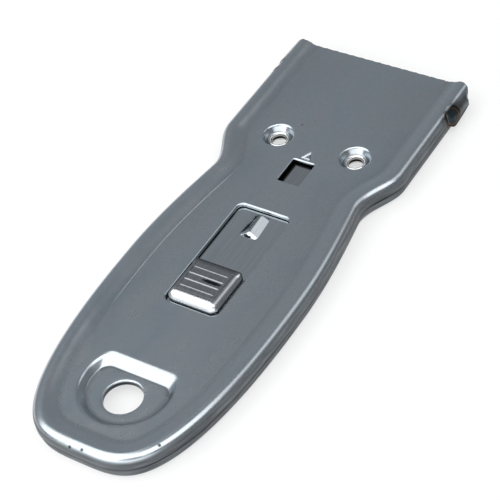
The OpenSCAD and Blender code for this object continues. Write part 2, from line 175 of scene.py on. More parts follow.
for i in range(1, FOLD_STEPS + 1):
    t = i / FOLD_STEPS
    slope_line.append((slope_end + FOLD_RUN * t, panel_z + FOLD_DROP * (1 - ramp(t, 0.3, 0.3))))
slope_line.append((RIM_BAND + RIM_FLAT, panel_z))
for inset, height in slope_line:
    rim_section.append((inset, height, inset, height - SHELL_SHEET))

# The fold is crisp along the grip alone, and opens into a soft curve towards the head and the butt
CRISP_REAR = -24
CRISP_FRONT = 14
CRISP_FADE = 14


def open_fold(y, inset, height, under):
    """Height of a skin on the slope, at a depth under the outer skin, for a place along the housing"""
    to_rear = ramp((CRISP_REAR - y) / CRISP_FADE, 0.3, 0.3)
    to_front = ramp((y - CRISP_FRONT) / CRISP_FADE, 0.3, 0.3)
    soft = mid - RIM_RISE * ramp((inset - RIM_RADIUS) / (RIM_BAND - RIM_RADIUS), 0.3, 0.5) - under
    return height + (soft - height) * max(to_rear, to_front)


MOUTH_CORNER = 1.9
MOUTH_REACH = 4
MOUTH_WEAR = 0.2
WEAR_MEAN = 0.5
WEAR_WAVES = ((0.3, 2.7, 0), (0.2, 6.1, 1))


def at_mouth(x, y, inset):
    """Place along the housing, drawn back near the mouth for its round corners and worn edge"""
    share = min(max((y - mouth_y + MOUTH_REACH) / MOUTH_REACH, 0), 1)
    away = min(max(MOUTH_CORNER - inset, 0), MOUTH_CORNER)
    corner = MOUTH_CORNER - math.sqrt(MOUTH_CORNER ** 2 - away ** 2)
    waves = sum(size * math.sin(pace * x + start) for size, pace, start in WEAR_WAVES)
    return y - share * corner - share ** 4 * MOUTH_WEAR * (WEAR_MEAN + waves)


def new_sheet():
    """Empty sheet of two skins, with the painted shade that lies on each place of it"""
    return {"outer": [], "inner": [], "painted_shade": [], "faces": []}


def add_grid(sheet, rows, closed, flip):
    """Add quads between rows of (outer place, inner place, painted shade) to a sheet of two skins"""
    first = len(sheet["outer"])
    width = len(rows[0])
    for row in rows:
        for outer, inner, painted_shade in row:
            sheet["outer"].append(outer)
            sheet["inner"].append(inner)
            sheet["painted_shade"].append(painted_shade)
    for r in range(len(rows) - 1):
        for c in range(width if closed else width - 1):
            a = first + r * width + c
            b = first + r * width + (c + 1) % width
            quad = (a, b, b + width, a + width)
            sheet["faces"].append(quad[::-1] if flip else quad)


def plan_row(loop, height, painted_shade=0.0, under=None):
    """Row of a sheet whose outer skin lies at one height; under is the height of its inner skin"""
    low = height - SHELL_SHEET if under is None else under
    return [(Vector((x, y, height)), Vector((x, y, low)), painted_shade) for x, y in loop]


EDGE_TURNS = (90, 72, 54, 36, 18, 0)
EDGE_SHADE_FADE = 3


def punched_edge(loop_at, radius, height, dirt_and_shade):
    """Rows of a punched hole's edge, which the punch rolls down; loop_at gives the grown hole, and the last
    argument the painted shade at the foot of its rolled edge
    """
    rows = []
    for angle in EDGE_TURNS:
        turn = math.radians(angle)
        loop = loop_at(radius * (1 - math.sin(turn)))
        drop = radius * (1 - math.cos(turn))
        shade_level = dirt_and_shade * max(1 - EDGE_SHADE_FADE * math.cos(turn), 0)
        rows.append(plan_row(loop, height - drop, shade_level, height - SHELL_SHEET))
    return rows


def is_inside(x, y, loops):
    """True where a point lies inside the outer loop and outside the holes"""
    crossings = 0
    for loop in loops:
        for (ax, ay), (bx, by) in zip(loop, loop[1:] + loop[:1]):
            if (ay > y) != (by > y) and x < ax + (bx - ax) * (y - ay) / (by - ay):
                crossings += 1
    return crossings % 2 == 1


def add_panel(sheet, loops):
    """Fill the flat panel between its outer loop and the loops of its holes"""
    places = [Vector(p) for loop in loops for p in loop]
    edges = []
    start = 0
    for loop in loops:
        edges += [(start + i, start + (i + 1) % len(loop)) for i in range(len(loop))]
        start += len(loop)
    found, _, triangles, _, _, _ = delaunay_2d_cdt(places, edges, [], 0, 1e-5)
    first = len(sheet["outer"])
    for p in found:
        sheet["outer"].append(Vector((p.x, p.y, panel_z)))
        sheet["inner"].append(Vector((p.x, p.y, panel_z - SHELL_SHEET)))
        sheet["painted_shade"].append(0.0)
    for corners in triangles:
        middle = sum((found[c] for c in corners), Vector((0, 0))) / 3
        if is_inside(middle.x, middle.y, loops):
            sheet["faces"].append(tuple(first + c for c in corners))


def round_loop(centre, radius, steps):
    """Circle in plan, anticlockwise"""
    turns = [2 * math.pi * i / steps for i in range(steps)]
    return [(centre[0] + radius * math.cos(t), centre[1] + radius * math.sin(t)) for t in turns]


DIMPLE_STEPS = 64
DIMPLE_ROWS = 18
DIMPLE_FLOOR = 2.55
DIMPLE_LIP = 3.85
DIMPLE_FLAT = 0.2
# Painted shade on the dimple floor round the eyelet's hole, fading up its wall
DIMPLE_SHADE = 0.4
DIMPLE_SHADE_FADE = 5
EYELET_HOLE = 2.2
dimple_depth = panel_z - SHELL_SHEET
eyelet_x = (eyelet_low.x + eyelet_high.x) / 2
eyelet_y = (eyelet_low.y + eyelet_high.y) / 2


def dimple_loop(side):
    """Edge of the panel round a dimple"""
    return round_loop((side * eyelet_x, eyelet_y), DIMPLE_LIP + DIMPLE_FLAT, DIMPLE_STEPS)


def add_dimple(sheet, side):
    """Round dimple whose floor meets the other shell's, with the eyelet's hole and painted shade round it"""
    centre = (side * eyelet_x, eyelet_y)
    rows = [plan_row(round_loop(centre, EYELET_HOLE, DIMPLE_STEPS), SHELL_SHEET, DIMPLE_SHADE)]
    for i in range(DIMPLE_ROWS + 1):
        share = i / DIMPLE_ROWS
        radius = DIMPLE_FLOOR + (DIMPLE_LIP - DIMPLE_FLOOR) * share
        height = SHELL_SHEET + dimple_depth * ramp(share, 0.15, 0.4)
        shade_level = DIMPLE_SHADE * max(1 - DIMPLE_SHADE_FADE * share, 0)
        rows.append(plan_row(round_loop(centre, radius, DIMPLE_STEPS), height, shade_level))
    rows.append(plan_row(dimple_loop(side), panel_z))
    add_grid(sheet, rows, closed=True, flip=True)


hang_mount = next(m for m in frame["record"]["mounts"] if m["name"] == "hang_hole")
hang_y = hang_mount["pos_m"][1] / MM
hang_radius = hang_mount["dims"]["r_mm"]
HANG_EDGE = 0.4
# Painted shade down the hang hole's cut wall
HANG_SHADE = 0.9
RECESS_RADIUS = 8.6
RECESS_BACK = 2
RECESS_FRONT = 5.7
RECESS_SLOPE = 3
RECESS_SIDE_RUN = 2
RECESS_CORNER = 2.5
RECESS_FLAT = 0.25
RECESS_ROWS = 18
RECESS_CORNER_STEPS = 8
RECESS_FRONT_STEPS = 12
RECESS_REAR_STEPS = 48
FLOOR_SHARES = (0.35, 0.7)


def recess_loop(front_grow, side_grow):
    """Plan of the recess, anticlockwise from the right end of its straight front"""
    radius = RECESS_RADIUS + side_grow
    rise = RECESS_FRONT - RECESS_BACK + front_grow - RECESS_CORNER
    run = math.sqrt((radius - RECESS_CORNER) ** 2 - rise ** 2)
    lean = math.atan2(rise, run)
    centre_y = hang_y + RECESS_BACK
    right = []
    for i in range(RECESS_CORNER_STEPS + 1):
        turn = lean + (math.pi / 2 - lean) * i / RECESS_CORNER_STEPS
        right.append((run + RECESS_CORNER * math.cos(turn), centre_y + rise + RECESS_CORNER * math.sin(turn)))
    left = [(-x, y) for x, y in reversed(right)]
    front_y = right[-1][1]
    front = [(run * (1 - 2 * i / RECESS_FRONT_STEPS), front_y) for i in range(1, RECESS_FRONT_STEPS)]
    rear = []
    for i in range(1, RECESS_REAR_STEPS):
        turn = math.pi - lean + (math.pi + 2 * lean) * i / RECESS_REAR_STEPS
        rear.append((radius * math.cos(turn), centre_y + radius * math.sin(turn)))
    return right + front + left + rear


recess_lip_loop = recess_loop(RECESS_SLOPE + RECESS_FLAT, RECESS_SIDE_RUN + RECESS_FLAT)


def hang_loop(grow):
    """Edge of the hang hole, with its points opposite those of the recess"""
    loop = []
    for x, y in recess_loop(0, 0):
        away = Vector((x, y - hang_y)).normalized() * (hang_radius + grow)
        loop.append((away.x, hang_y + away.y))
    return loop


# Painted shade at the foot of the recess, as its share at the floor and the rows over which it fades
FRONT_FOOT_SHADE = (0.8, 2)
REAR_FOOT_SHADE = (0.35, 5)


def add_recess(sheet):
    """D-shaped recess with the hang hole in its floor"""
    rows = punched_edge(hang_loop, HANG_EDGE, SHELL_SHEET, HANG_SHADE)
    floor = recess_loop(0, 0)
    for share in FLOOR_SHARES:
        pairs = zip(hang_loop(HANG_EDGE), floor)
        loop = [(a[0] + (b[0] - a[0]) * share, a[1] + (b[1] - a[1]) * share) for a, b in pairs]
        rows.append(plan_row(loop, SHELL_SHEET))
    for i in range(RECESS_ROWS + 1):
        share = i / RECESS_ROWS
        height = SHELL_SHEET + dimple_depth * ramp(share, 0.12, 0.45)
        row = []
        for x, y in recess_loop(RECESS_SLOPE * share, RECESS_SIDE_RUN * share):
            most, fade_rows = FRONT_FOOT_SHADE if y > floor[0][1] else REAR_FOOT_SHADE
            shade_level = most * max(1 - i / fade_rows, 0)
            row.append((Vector((x, y, height)), Vector((x, y, height - SHELL_SHEET)), shade_level))
        rows.append(row)
    rows.append(plan_row(recess_lip_loop, panel_z))
    add_grid(sheet, rows, closed=True, flip=True)


MOUTH_STEPS = 56
# Painted shade on the side wall: where it starts at the seam, where it fades below the crest, and how dark it
# is
SHADE_FOOT = 0.5
SHADE_BROW = 1.9
SHADE_FADE = 0.8
BUTT_SHADE = 0.72
SIDE_SHADE = 0.8
SEAM_SHADE = 0.4


def wall_shade(height, normal):
    """Painted shade on the side wall, darkening what it mirrors: thickest at the seam, thinner round the
    butt, and none on the crest
    """
    at_seam = 1 - ramp((height - SEAM_GAP / 2) / SHADE_FOOT, 0.1, 0.6)
    below_crest = 1 - ramp((height - SHADE_BROW) / SHADE_FADE, 0.3, 0.3)
    return (BUTT_SHADE + (SIDE_SHADE - BUTT_SHADE) * abs(normal.x)) * below_crest + SEAM_SHADE * at_seam


def add_rim(sheet, step, reshape):
    """Rim of a shell, set in by a step; returns the loop of its foot, which bounds the panel"""
    feet = {}
    for side in (1, -1):
        rows = []
        for place, normal in zip(half_outline, inward):
            row = []
            for section in rim_section:
                skins = []
                for i, h, is_outer in ((*section[:2], True), (*section[2:], False)):
                    if section[0] > RIM_RADIUS:
                        h = open_fold(place.y, i, h, 0 if is_outer else SHELL_SHEET)
                    i, h, shade_level = reshape(place.y, i, h, is_outer)
                    p = place + normal * (i + step)
                    skins.append(Vector((side * p.x, at_mouth(side * p.x, p.y, i), h)))
                # Painted shade on the wall below the crest
                if section[0] < RIM_RADIUS:
                    shade_level = max(shade_level, wall_shade(section[1], normal))
                row.append((*skins, shade_level))
            rows.append(row)
        feet[side] = [(row[-1][0].x, row[-1][0].y) for row in rows]
        add_grid(sheet, rows, closed=False, flip=side == 1)
    span_x = feet[1][0][0]
    mouth = []
    for i in range(1, MOUTH_STEPS):
        x = span_x - 2 * span_x * i / MOUTH_STEPS
        mouth.append((x, at_mouth(x, mouth_y, RIM_BAND)))
    return feet[-1] + feet[1][-2::-1] + mouth


def srgb(code):
    """Linear colour from an sRGB hex value"""
    channels = [int(code[i:i + 2], 16) / 255 for i in (1, 3, 5)]
    return (*[c / 12.92 if c <= 0.04045 else ((c + 0.055) / 1.055) ** 2.4 for c in channels], 1)


def add(tree, kind, inputs=None, **settings):
    """Add a node with its settings; each input takes a value or the socket that feeds it"""
    node = tree.nodes.new(kind)
    for key, value in settings.items():
        setattr(node, key, value)
    for key, value in (inputs or {}).items():
        if isinstance(value, bpy.types.NodeSocket):
            tree.links.new(value, node.inputs[key])
        else:
            node.inputs[key].default_value = value
    return node


def calc(tree, operation, *values, clamp=False):
    """Result of an operation on one to three values"""
    node = add(tree, "ShaderNodeMath", dict(enumerate(values)), operation=operation, use_clamp=clamp)
    return node.outputs[0]


def vector_calc(tree, operation, *values):
    """Node of an operation on one or two vectors"""
    return add(tree, "ShaderNodeVectorMath", dict(enumerate(values)), operation=operation)


def stretch(tree, value, low, high, to_low=0, to_high=1, kind="LINEAR"):
    """A value's place between low and high, on the way from to_low to to_high"""
    return add(tree, "ShaderNodeMapRange", {
        "Value": value, "From Min": low, "From Max": high, "To Min": to_low, "To Max": to_high,
    }, interpolation_type=kind).outputs[0]


def axes(tree, vector):
    """The three coordinates of a vector, by name"""
    return add(tree, "ShaderNodeSeparateXYZ", {0: vector}).outputs


def mixed(tree, share, under, over):
    """Colour that goes from under to over with a share"""
    return add(tree, "ShaderNodeMix", {0: share, 6: under, 7: over}, data_type="RGBA").outputs[2]


def tones(tree, value, *stops):
    """Colour that a value picks between stops, which are pairs of place and hex colour"""
    node = add(tree, "ShaderNodeValToRGB", {"Fac": value})
    elements = node.color_ramp.elements
    while len(elements) < len(stops):
        elements.new(1)
    for element, (place, code) in zip(elements, stops):
        element.position = place
        element.color = srgb(code)
    return node.outputs["Color"]


def noise(tree, place, size, detail, **more):
    """Noise whose spots have a size in millimetres along each axis"""
    scale = [1 / (s * MM) for s in size]
    stretched = add(tree, "ShaderNodeMapping", {"Vector": place, "Scale": scale}).outputs["Vector"]
    return add(tree, "ShaderNodeTexNoise", {
        "Vector": stretched, "Scale": 1, "Detail": detail, **more,
    }).outputs["Fac"]


def new_material(name):
    """Material with its node tree and its shader"""
    material = bpy.data.materials.new(name)
    material.use_nodes = True
    return material, material.node_tree, material.node_tree.nodes["Principled BSDF"]


def own_place(tree):
    """Place on a piece, in its own coordinates"""
    return add(tree, "ShaderNodeTexCoord").outputs["Object"]


def make_metal(tree, shader, colour, roughness):
    """Give the shader a metal's colour and gloss"""
    tree.links.new(colour, shader.inputs["Base Color"])
    tree.links.new(roughness, shader.inputs["Roughness"])
    shader.inputs["Metallic"].default_value = 1


def add_relief(tree, shader, pattern, strength, depth):
    """Fine relief on a metal, of a depth in millimetres"""
    bump = add(tree, "ShaderNodeBump", {"Height": pattern, "Strength": strength, "Distance": depth * MM})
    tree.links.new(bump.outputs["Normal"], shader.inputs["Normal"])


def shaded_piece(name, data, material, crease):
    """Object of a finished mesh, smooth but for its sharp creases"""
    data.materials.clear()
    data.materials.append(material)
    data.shade_smooth()
    data.set_sharp_from_angle(angle=math.radians(crease))
    piece = bpy.data.objects.new(name, data)
    bpy.context.collection.objects.link(piece)
    return piece


SHEET_CREASE = 28
SHARP_EDGE = 0.5


def sheet_piece(name, sheet, material, edge_round, turn_over=False):
    """Make a piece of a sheet's two skins: merge its grids, wall up its edges and round the sharp ones"""
    index = {}
    merged = []
    for k, p in enumerate(sheet["outer"]):
        key = (round(p.x, 3), round(p.y, 3), round(p.z, 3))
        merged.append(index.setdefault(key, k))
    mesh = bmesh.new()
    # Each vertex keeps its painted shade, which darkens the colour in the materials
    painted_shade = mesh.verts.layers.float.new("painted_shade")
    lift = -1 if turn_over else 1
    skins = []
    for places in (sheet["outer"], sheet["inner"]):
        verts = {}
        for k in sorted(set(merged)):
            p = places[k]
            verts[k] = mesh.verts.new((p.x, p.y, mid + lift * p.z))
            verts[k][painted_shade] = sheet["painted_shade"][k]
        skins.append(verts)
    outer, inner = skins
    for face in sheet["faces"]:
        corners = list(dict.fromkeys(merged[c] for c in face))
        if len(corners) < 3:
            continue
        if turn_over:
            corners.reverse()
        mesh.faces.new([outer[c] for c in corners])
        mesh.faces.new([inner[c] for c in reversed(corners)])
    number = {vert: k for k, vert in outer.items()}
    rims = [e for e in mesh.edges if e.is_boundary and e.verts[0] in number]
    edges = []
    for edge in rims:
        loop = edge.link_loops[0]
        a, b = loop.vert, loop.link_loop_next.vert
        far_a, far_b = inner[number[a]], inner[number[b]]
        mesh.faces.new([b, a, far_a, far_b])
        edges += [edge, mesh.edges.get((far_a, far_b))]
    for vert in [v for v in mesh.verts if not v.link_faces]:
        mesh.verts.remove(vert)
    mesh.normal_update()
    sharp = [e for e in edges if e.calc_face_angle(0) > SHARP_EDGE]
    bmesh.ops.bevel(mesh, geom=sharp, offset=edge_round, segments=2, profile=0.6, affect="EDGES",
                    clamp_overlap=True)
    bmesh.ops.scale(mesh, vec=(MM, MM, MM), verts=mesh.verts)
    data = bpy.data.meshes.new(name)
    mesh.to_mesh(data)
    mesh.free()
    return shaded_piece(name, data, material, SHEET_CREASE)


# Bright plated sheet steel: a cool grey, slightly blurred mirror with a faint mottle of teal and
# violet, soft hand smears, a few pits, streaked painted shade on the walls, in the hollows and round the cut
# edges, and heat colours round the welds
WELD_TAB = 10.5
WELD_TAB_SETBACK = 1
WELD_SETBACK = 1.9
WELD_HEIGHT = 1.45
WELD_PROUD = 0.3
tab_front = mouth_y - WELD_TAB_SETBACK
weld_rear = tab_front - WELD_TAB
weld_spot = Vector((head_half + WELD_PROUD, weld_rear + WELD_SETBACK, mid + WELD_HEIGHT))
MOTTLE_SIZE = (1.1, 1.1, 1.1)
SMEAR_SIZE = (5.625, 15, 9)
STREAK_SIZE = (7, 7, 0.8)
PLATE_GRAIN = (0.16, 5, 0.16)
FILM_SHARE = 0.4
PIT_SPACING = 9
PIT_RADIUS = 0.22
CREST_PITS = ((-1.4, -62.1, 5.6), (1.4, -61.8, 5.9), (14.8, -54.5, 6.2))
HEAT_REACH = 5
HEAT_INSET = 1.6
SHADE_MATT = 0.25

plated_steel, tree, shader = new_material("bright_plated_pressed_steel")
place = own_place(tree)
mottle = noise(tree, place, MOTTLE_SIZE, 2)
plate_tone = tones(tree, mottle, (0.3, "#adbabc"), (0.5, "#b4bcc2"), (0.7, "#bbbac4"))
smear = noise(tree, place, SMEAR_SIZE, 5, Roughness=0.6, Distortion=0.6)
film = tones(tree, smear, (0.34, "#b0bcc4"), (0.5, "#b6bec2"), (0.64, "#b3b6b8"), (0.8, "#a3a3a6"))
colour = mixed(tree, FILM_SHARE, plate_tone, film)
pits = add(tree, "ShaderNodeTexVoronoi", {"Vector": place, "Scale": 1 / (PIT_SPACING * MM)})
pit_edge = PIT_RADIUS / PIT_SPACING
pit_share = stretch(tree, pits.outputs["Distance"], pit_edge, 2 * pit_edge, 0.5, 0)
colour = mixed(tree, pit_share, colour, srgb("#4a4846"))
for spot in CREST_PITS:
    from_pit = vector_calc(tree, "DISTANCE", place, Vector(spot) * MM).outputs["Value"]
    pit_share = stretch(tree, from_pit, PIT_RADIUS * MM, 2 * PIT_RADIUS * MM, 0.9, 0)
    colour = mixed(tree, pit_share, colour, srgb("#2c2a29"))
# Painted shade: the sheets' shade darkens the colour towards near black, in streaks
shade_level = add(tree, "ShaderNodeAttribute", attribute_name="painted_shade").outputs["Fac"]
streak = noise(tree, place, STREAK_SIZE, 4)
shade_share = calc(tree, "MULTIPLY", shade_level, stretch(tree, streak, 0.3, 0.65, 0.82, 1.06), clamp=True)
colour = mixed(tree, shade_share, colour, srgb("#26282b"))
mirrored = vector_calc(tree, "ABSOLUTE", place).outputs["Vector"]
from_weld = vector_calc(tree, "DISTANCE", mirrored, weld_spot * MM).outputs["Value"]
heat_place = calc(tree, "DIVIDE", from_weld, HEAT_REACH * MM)
heat_tint = tones(tree, heat_place, (0.0, "#2b363b"), (0.34, "#2d383d"), (0.37, "#5c4739"), (0.41, "#5c4739"),
                  (0.44, "#1a1817"), (0.52, "#24211f"), (0.62, "#5a5552"), (0.8, "#3d3d40"), (1.0, "#6d6f73"))
heat_share = stretch(tree, heat_place, 0.5, 1, 0.95, 0)
heat_from = (head_half - HEAT_INSET) * MM
heat_full = (head_half - HEAT_INSET / 2) * MM
on_wall = stretch(tree, axes(tree, mirrored)["X"], heat_from, heat_full)
colour = mixed(tree, calc(tree, "MULTIPLY", heat_share, on_wall), colour, heat_tint)
gloss = stretch(tree, smear, 0.3, 0.75, 0.2, 0.3)
make_metal(tree, shader, colour, calc(tree, "MULTIPLY_ADD", shade_share, SHADE_MATT, gloss))
add_relief(tree, shader, noise(tree, place, PLATE_GRAIN, 3), 0.25, 0.006)

SHELL_EDGE = 0.1
FOLD_SHADE = 0.18
FOLD_SHADE_REACH = 1.3


def fold_shade(inset):
    """Thin painted shade on the slope, thickest where it meets the fold"""
    return FOLD_SHADE * max(1 - abs(inset - slope_end) / FOLD_SHADE_REACH, 0)


def as_pressed(y, inset, height, is_outer):
    """The lower rim keeps its section all round"""
    return inset, height, fold_shade(inset)


lower_sheet = new_sheet()
lower_around = add_rim(lower_sheet, seam_step, as_pressed)
for side in (-1, 1):
    add_dimple(lower_sheet, side)
add_recess(lower_sheet)
add_panel(lower_sheet, [lower_around, dimple_loop(-1), dimple_loop(1), recess_lip_loop])
lower_shell = sheet_piece("lower_shell", lower_sheet, plated_steel, SHELL_EDGE, turn_over=True)
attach(lower_shell, "housing")
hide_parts("bottom_shell")

# Blade carrier and its rivets
# A channel folded from plain sheet steel that grips the blade's spine, with a tab behind it.
# Two steel rivets through the tab hold the latch spring.
CARRIER_GRAIN = (3, 0.3, 0.3)


def dress(node, material):
    """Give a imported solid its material"""
    for holder in frame["nodes"][node].material_slots:
        holder.material = material


# Cold rolled steel: a dull grey with a fine grain across the strip, which blurs what it mirrors
carrier_steel, tree, shader = new_material("plain_cold_rolled_steel")
grain = noise(tree, own_place(tree), CARRIER_GRAIN, 4)
tone = tones(tree, grain, (0.3, "#84888b"), (0.7, "#a3a6a8"))
make_metal(tree, shader, tone, stretch(tree, grain, 0, 1, 0.3, 0.5))
add_relief(tree, shader, grain, 0.3, 0.01)
dress("blade_carrier", carrier_steel)
dress("latch_rivets", carrier_steel)

# Latch spring
# A strip of polished flat spring steel under the panel, riveted to the carrier at its front. Its
# lanced bump drops into the slot's front end or the window, and pressing the button bends it down.
spring_low, spring_high = box_mm("latch_spring")
button_low, button_high = box_mm("thumb_button")
SPRING_SHEET = 0.6
SPRING_CORNER = 2
SPRING_COLUMNS = 12
CORNER_ROWS = 6
BODY_ROWS = 24
STEM_ROWS = 20
STEM_HALF = 5.7
SPRING_SHOULDER = 9.8
SHOULDER_RUN = 0.01
spring_half = spring_high.x
spring_top = spring_low.z + SPRING_SHEET - mid

spring_stations = []
for turn in quarter(CORNER_ROWS):
    spring_stations.append((spring_low.y + SPRING_CORNER * (1 - math.cos(turn)),
                            spring_half - SPRING_CORNER * (1 - math.sin(turn))))
body_rear = spring_low.y + SPRING_CORNER
body_front = SPRING_SHOULDER - SPRING_CORNER
for i in range(1, BODY_ROWS):
    spring_stations.append((body_rear + (body_front - body_rear) * i / BODY_ROWS, spring_half))
for turn in quarter(CORNER_ROWS):
    spring_stations.append((SPRING_SHOULDER - SPRING_CORNER * (1 - math.sin(turn)),
                            spring_half - SPRING_CORNER * (1 - math.cos(turn))))
stem_rear = SPRING_SHOULDER + SHOULDER_RUN
for i in range(STEM_ROWS + 1):
    spring_stations.append((stem_rear + (spring_high.y - stem_rear) * i / STEM_ROWS, STEM_HALF))
rows = []
for y, half in spring_stations:
    line = [(half * (2 * c / SPRING_COLUMNS - 1), y) for c in range(SPRING_COLUMNS + 1)]
    rows.append(plan_row(line, spring_top, under=spring_top - SPRING_SHEET))
plate_sheet = new_sheet()
add_grid(plate_sheet, rows, closed=False, flip=False)

# The bump is a pod with a soft ridge: round and wide at the rear, a little narrower at its blunt nose
BUMP_LENGTH = 6.8
BUMP_REAR = 1.6
BUMP_HALF = 2.3
BUMP_TAPER = 0.4
BUMP_ROUND = 1
BUMP_NOSE = 0.8
BUMP_RIDGE = 1.2
BUMP_FOOT = 0.72
BUMP_SINK = 0.03
BUMP_SHEET = 0.35
BUMP_HOLLOW = 0.9
BUMP_STEPS = 28
END_ROWS = 8
LENGTH_ROWS = 14
ARCH_HALF = 0.8
ARCH_HEIGHT = 0.5
# Painted shade down the bump's left flank
LEFT_FLANK_SHADE = 0.6
FLANK_STEEP = 8
bump_height = spring_high.z - mid - spring_top
bump_stations = []
for turn in quarter(END_ROWS):
    bump_stations.append((BUMP_ROUND * (1 - math.cos(turn)), math.sin(turn)))
straight = BUMP_LENGTH - BUMP_ROUND - BUMP_NOSE
for i in range(1, LENGTH_ROWS):
    bump_stations.append((BUMP_ROUND + straight * i / LENGTH_ROWS, 1))
for turn in quarter(END_ROWS):
    bump_stations.append((BUMP_LENGTH - BUMP_NOSE * (1 - math.sin(turn)), math.cos(turn)))
rows = []
for ahead, share in bump_stations:
    half = (BUMP_HALF - BUMP_TAPER * ahead / BUMP_LENGTH) * (BUMP_FOOT + (1 - BUMP_FOOT) * share)
    y = BUMP_REAR + ahead
    at_nose = ramp((ahead - BUMP_LENGTH + BUMP_NOSE) / BUMP_NOSE, 0.3, 0.3)
    row = []
    for c in range(BUMP_STEPS + 1):
        u = 2 * c / BUMP_STEPS - 1
        rise = bump_height * share * (1 - abs(u) ** BUMP_RIDGE)
        under = max(rise - BUMP_SHEET, 0) - BUMP_SHEET / 2
        outer = Vector((half * u, y, spring_top - BUMP_SINK + rise))
        inner = Vector((half * u * BUMP_HOLLOW, y, spring_top - BUMP_SINK + under))
        # Painted shade: black in the arch under the rear end, over the blunt nose and down the left flank
        in_arch = ahead < BUMP_ROUND and abs(outer.x) < ARCH_HALF and rise < ARCH_HEIGHT
        left_flank_shade = LEFT_FLANK_SHADE * ramp(-FLANK_STEEP * u, 0.4, 0.4) * ramp(ahead - BUMP_ROUND, 0.4, 0.4)
        row.append((outer, inner, 1.0 if in_arch else max(at_nose, left_flank_shade)))
    rows.append(row)
bump_sheet = new_sheet()
add_grid(bump_sheet, rows, closed=False, flip=False)

# Polished spring steel: a clear grey mirror with faint lengthwise drag marks from the panel's edge,
# with painted shade on the plate where it lies under the panel and painted shadow under the window's left and
# front edges
DRAG_SIZE = (0.35, 12, 0.35)
LEFT_SHADOW = -1.5
FRONT_SHADOW = 25
SHADOW_EDGE = 0.35
SHADOW_START = 14
UNDER_PANEL_SHADE = 0.4
spring_steel, tree, shader = new_material("polished_flat_spring_steel")
place = own_place(tree)
drag = noise(tree, place, DRAG_SIZE, 4)
tone = tones(tree, drag, (0.3, "#b0b8bd"), (0.6, "#bac0c4"), (0.75, "#c0c2c6"))
where = axes(tree, place)
# Painted shadow along the window's left and front edges, on the plate under the panel
left_shadow = stretch(tree, where["X"], (LEFT_SHADOW - SHADOW_EDGE) * MM, LEFT_SHADOW * MM, 1, 0)
front_shadow = stretch(tree, where["Y"], FRONT_SHADOW * MM, (FRONT_SHADOW + SHADOW_EDGE) * MM)
under_panel = calc(tree, "GREATER_THAN", where["Y"], SHADOW_START * MM)
window_shadow = calc(tree, "MULTIPLY", calc(tree, "MAXIMUM", left_shadow, front_shadow), under_panel)
# Painted shade: the plate under the panel is duller and warmer
colour = mixed(tree, calc(tree, "MULTIPLY", under_panel, UNDER_PANEL_SHADE), tone, srgb("#8f8a8e"))
dirt_and_shade = add(tree, "ShaderNodeAttribute", attribute_name="painted_shade").outputs["Fac"]
# Painted shade from the bump and painted shadow at the window edges darken the colour towards black
colour = mixed(tree, calc(tree, "MAXIMUM", dirt_and_shade, window_shadow), colour, srgb("#1d1e20"))
make_metal(tree, shader, colour, stretch(tree, drag, 0, 1, 0.08, 0.16))
add_relief(tree, shader, drag, 0.15, 0.004)

SPRING_EDGE = 0.06
latch_plate = sheet_piece("latch_plate", plate_sheet, spring_steel, SPRING_EDGE)
latch_bump = sheet_piece("latch_bump", bump_sheet, spring_steel, SPRING_EDGE)
for piece in (latch_plate, latch_bump):
    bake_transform(piece)
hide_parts("latch_spring")

# Thumb button
# A cap formed from sheet steel and fixed on the latch spring in the slot: square in front, rounded
# at the flanks and the rear, with four pressed ridges across it that give the thumb a grip.
BUTTON_RISE = 1.5
BUTTON_FLANK = 1.6
BUTTON_ROLL = 2
BUTTON_FRONT_EDGE = 0.3
BUTTON_FRONT_REACH = 2.2
BUTTON_FRONT_SHARE = 0.55
BUTTON_REAR_CORNER = 1.6
BUTTON_FRONT_CORNER = 0.7
BUTTON_DIP = 0.25
button_half = button_high.x
button_front = button_high.y
button_rear = button_low.y
button_top = mid + panel_z + BUTTON_RISE


def cap_top(y):
    """Height of the cap's top, which falls towards its front"""
    share = (y - button_rear - BUTTON_ROLL) / (button_front - button_rear - BUTTON_ROLL)
    return button_top - BUTTON_DIP * min(max(share, 0), 1)


def corner_arc(centre, radius, start, steps):
    """Quarter circle in plan, anticlockwise"""
    turns = [start + turn for turn in quarter(steps)]
    return [Vector((centre[0] + radius * math.cos(t), centre[1] + radius * math.sin(t))) for t in turns]


def mirror_x(points):
    """Points on the other side, in the order that goes on round the outline"""
    return [Vector((-p.x, p.y)) for p in reversed(points)]


SIDE_ROWS = 96
CROSS_COLUMNS = 36
CORNER_STEPS = 8
front_corner = corner_arc((button_half - BUTTON_FRONT_CORNER, button_front - BUTTON_FRONT_CORNER),
                          BUTTON_FRONT_CORNER, 0, CORNER_STEPS)
rear_corner = corner_arc((button_half - BUTTON_REAR_CORNER, button_rear + BUTTON_REAR_CORNER),
                         BUTTON_REAR_CORNER, -math.pi / 2, CORNER_STEPS)
right_side = []
for i in range(1, SIDE_ROWS):
    y = rear_corner[-1].y + (front_corner[0].y - rear_corner[-1].y) * i / SIDE_ROWS
    right_side.append(Vector((button_half, y)))
right = rear_corner[CORNER_STEPS // 2:] + right_side + front_corner[:CORNER_STEPS // 2 + 1]
front_half = front_corner[CORNER_STEPS // 2:]
rear_half = rear_corner[:CORNER_STEPS // 2 + 1]
cross = [1 - 2 * i / CROSS_COLUMNS for i in range(1, CROSS_COLUMNS)]
front_run = [Vector((front_half[-1].x * u, button_front)) for u in cross]
rear_run = [Vector((-rear_half[0].x * u, button_rear)) for u in cross]
front = front_half + front_run + mirror_x(front_half)
left = mirror_x(right)
rear = mirror_x(rear_half) + rear_run + rear_half
cap_outline = right[:-1] + front[:-1] + left[:-1] + rear[:-1]


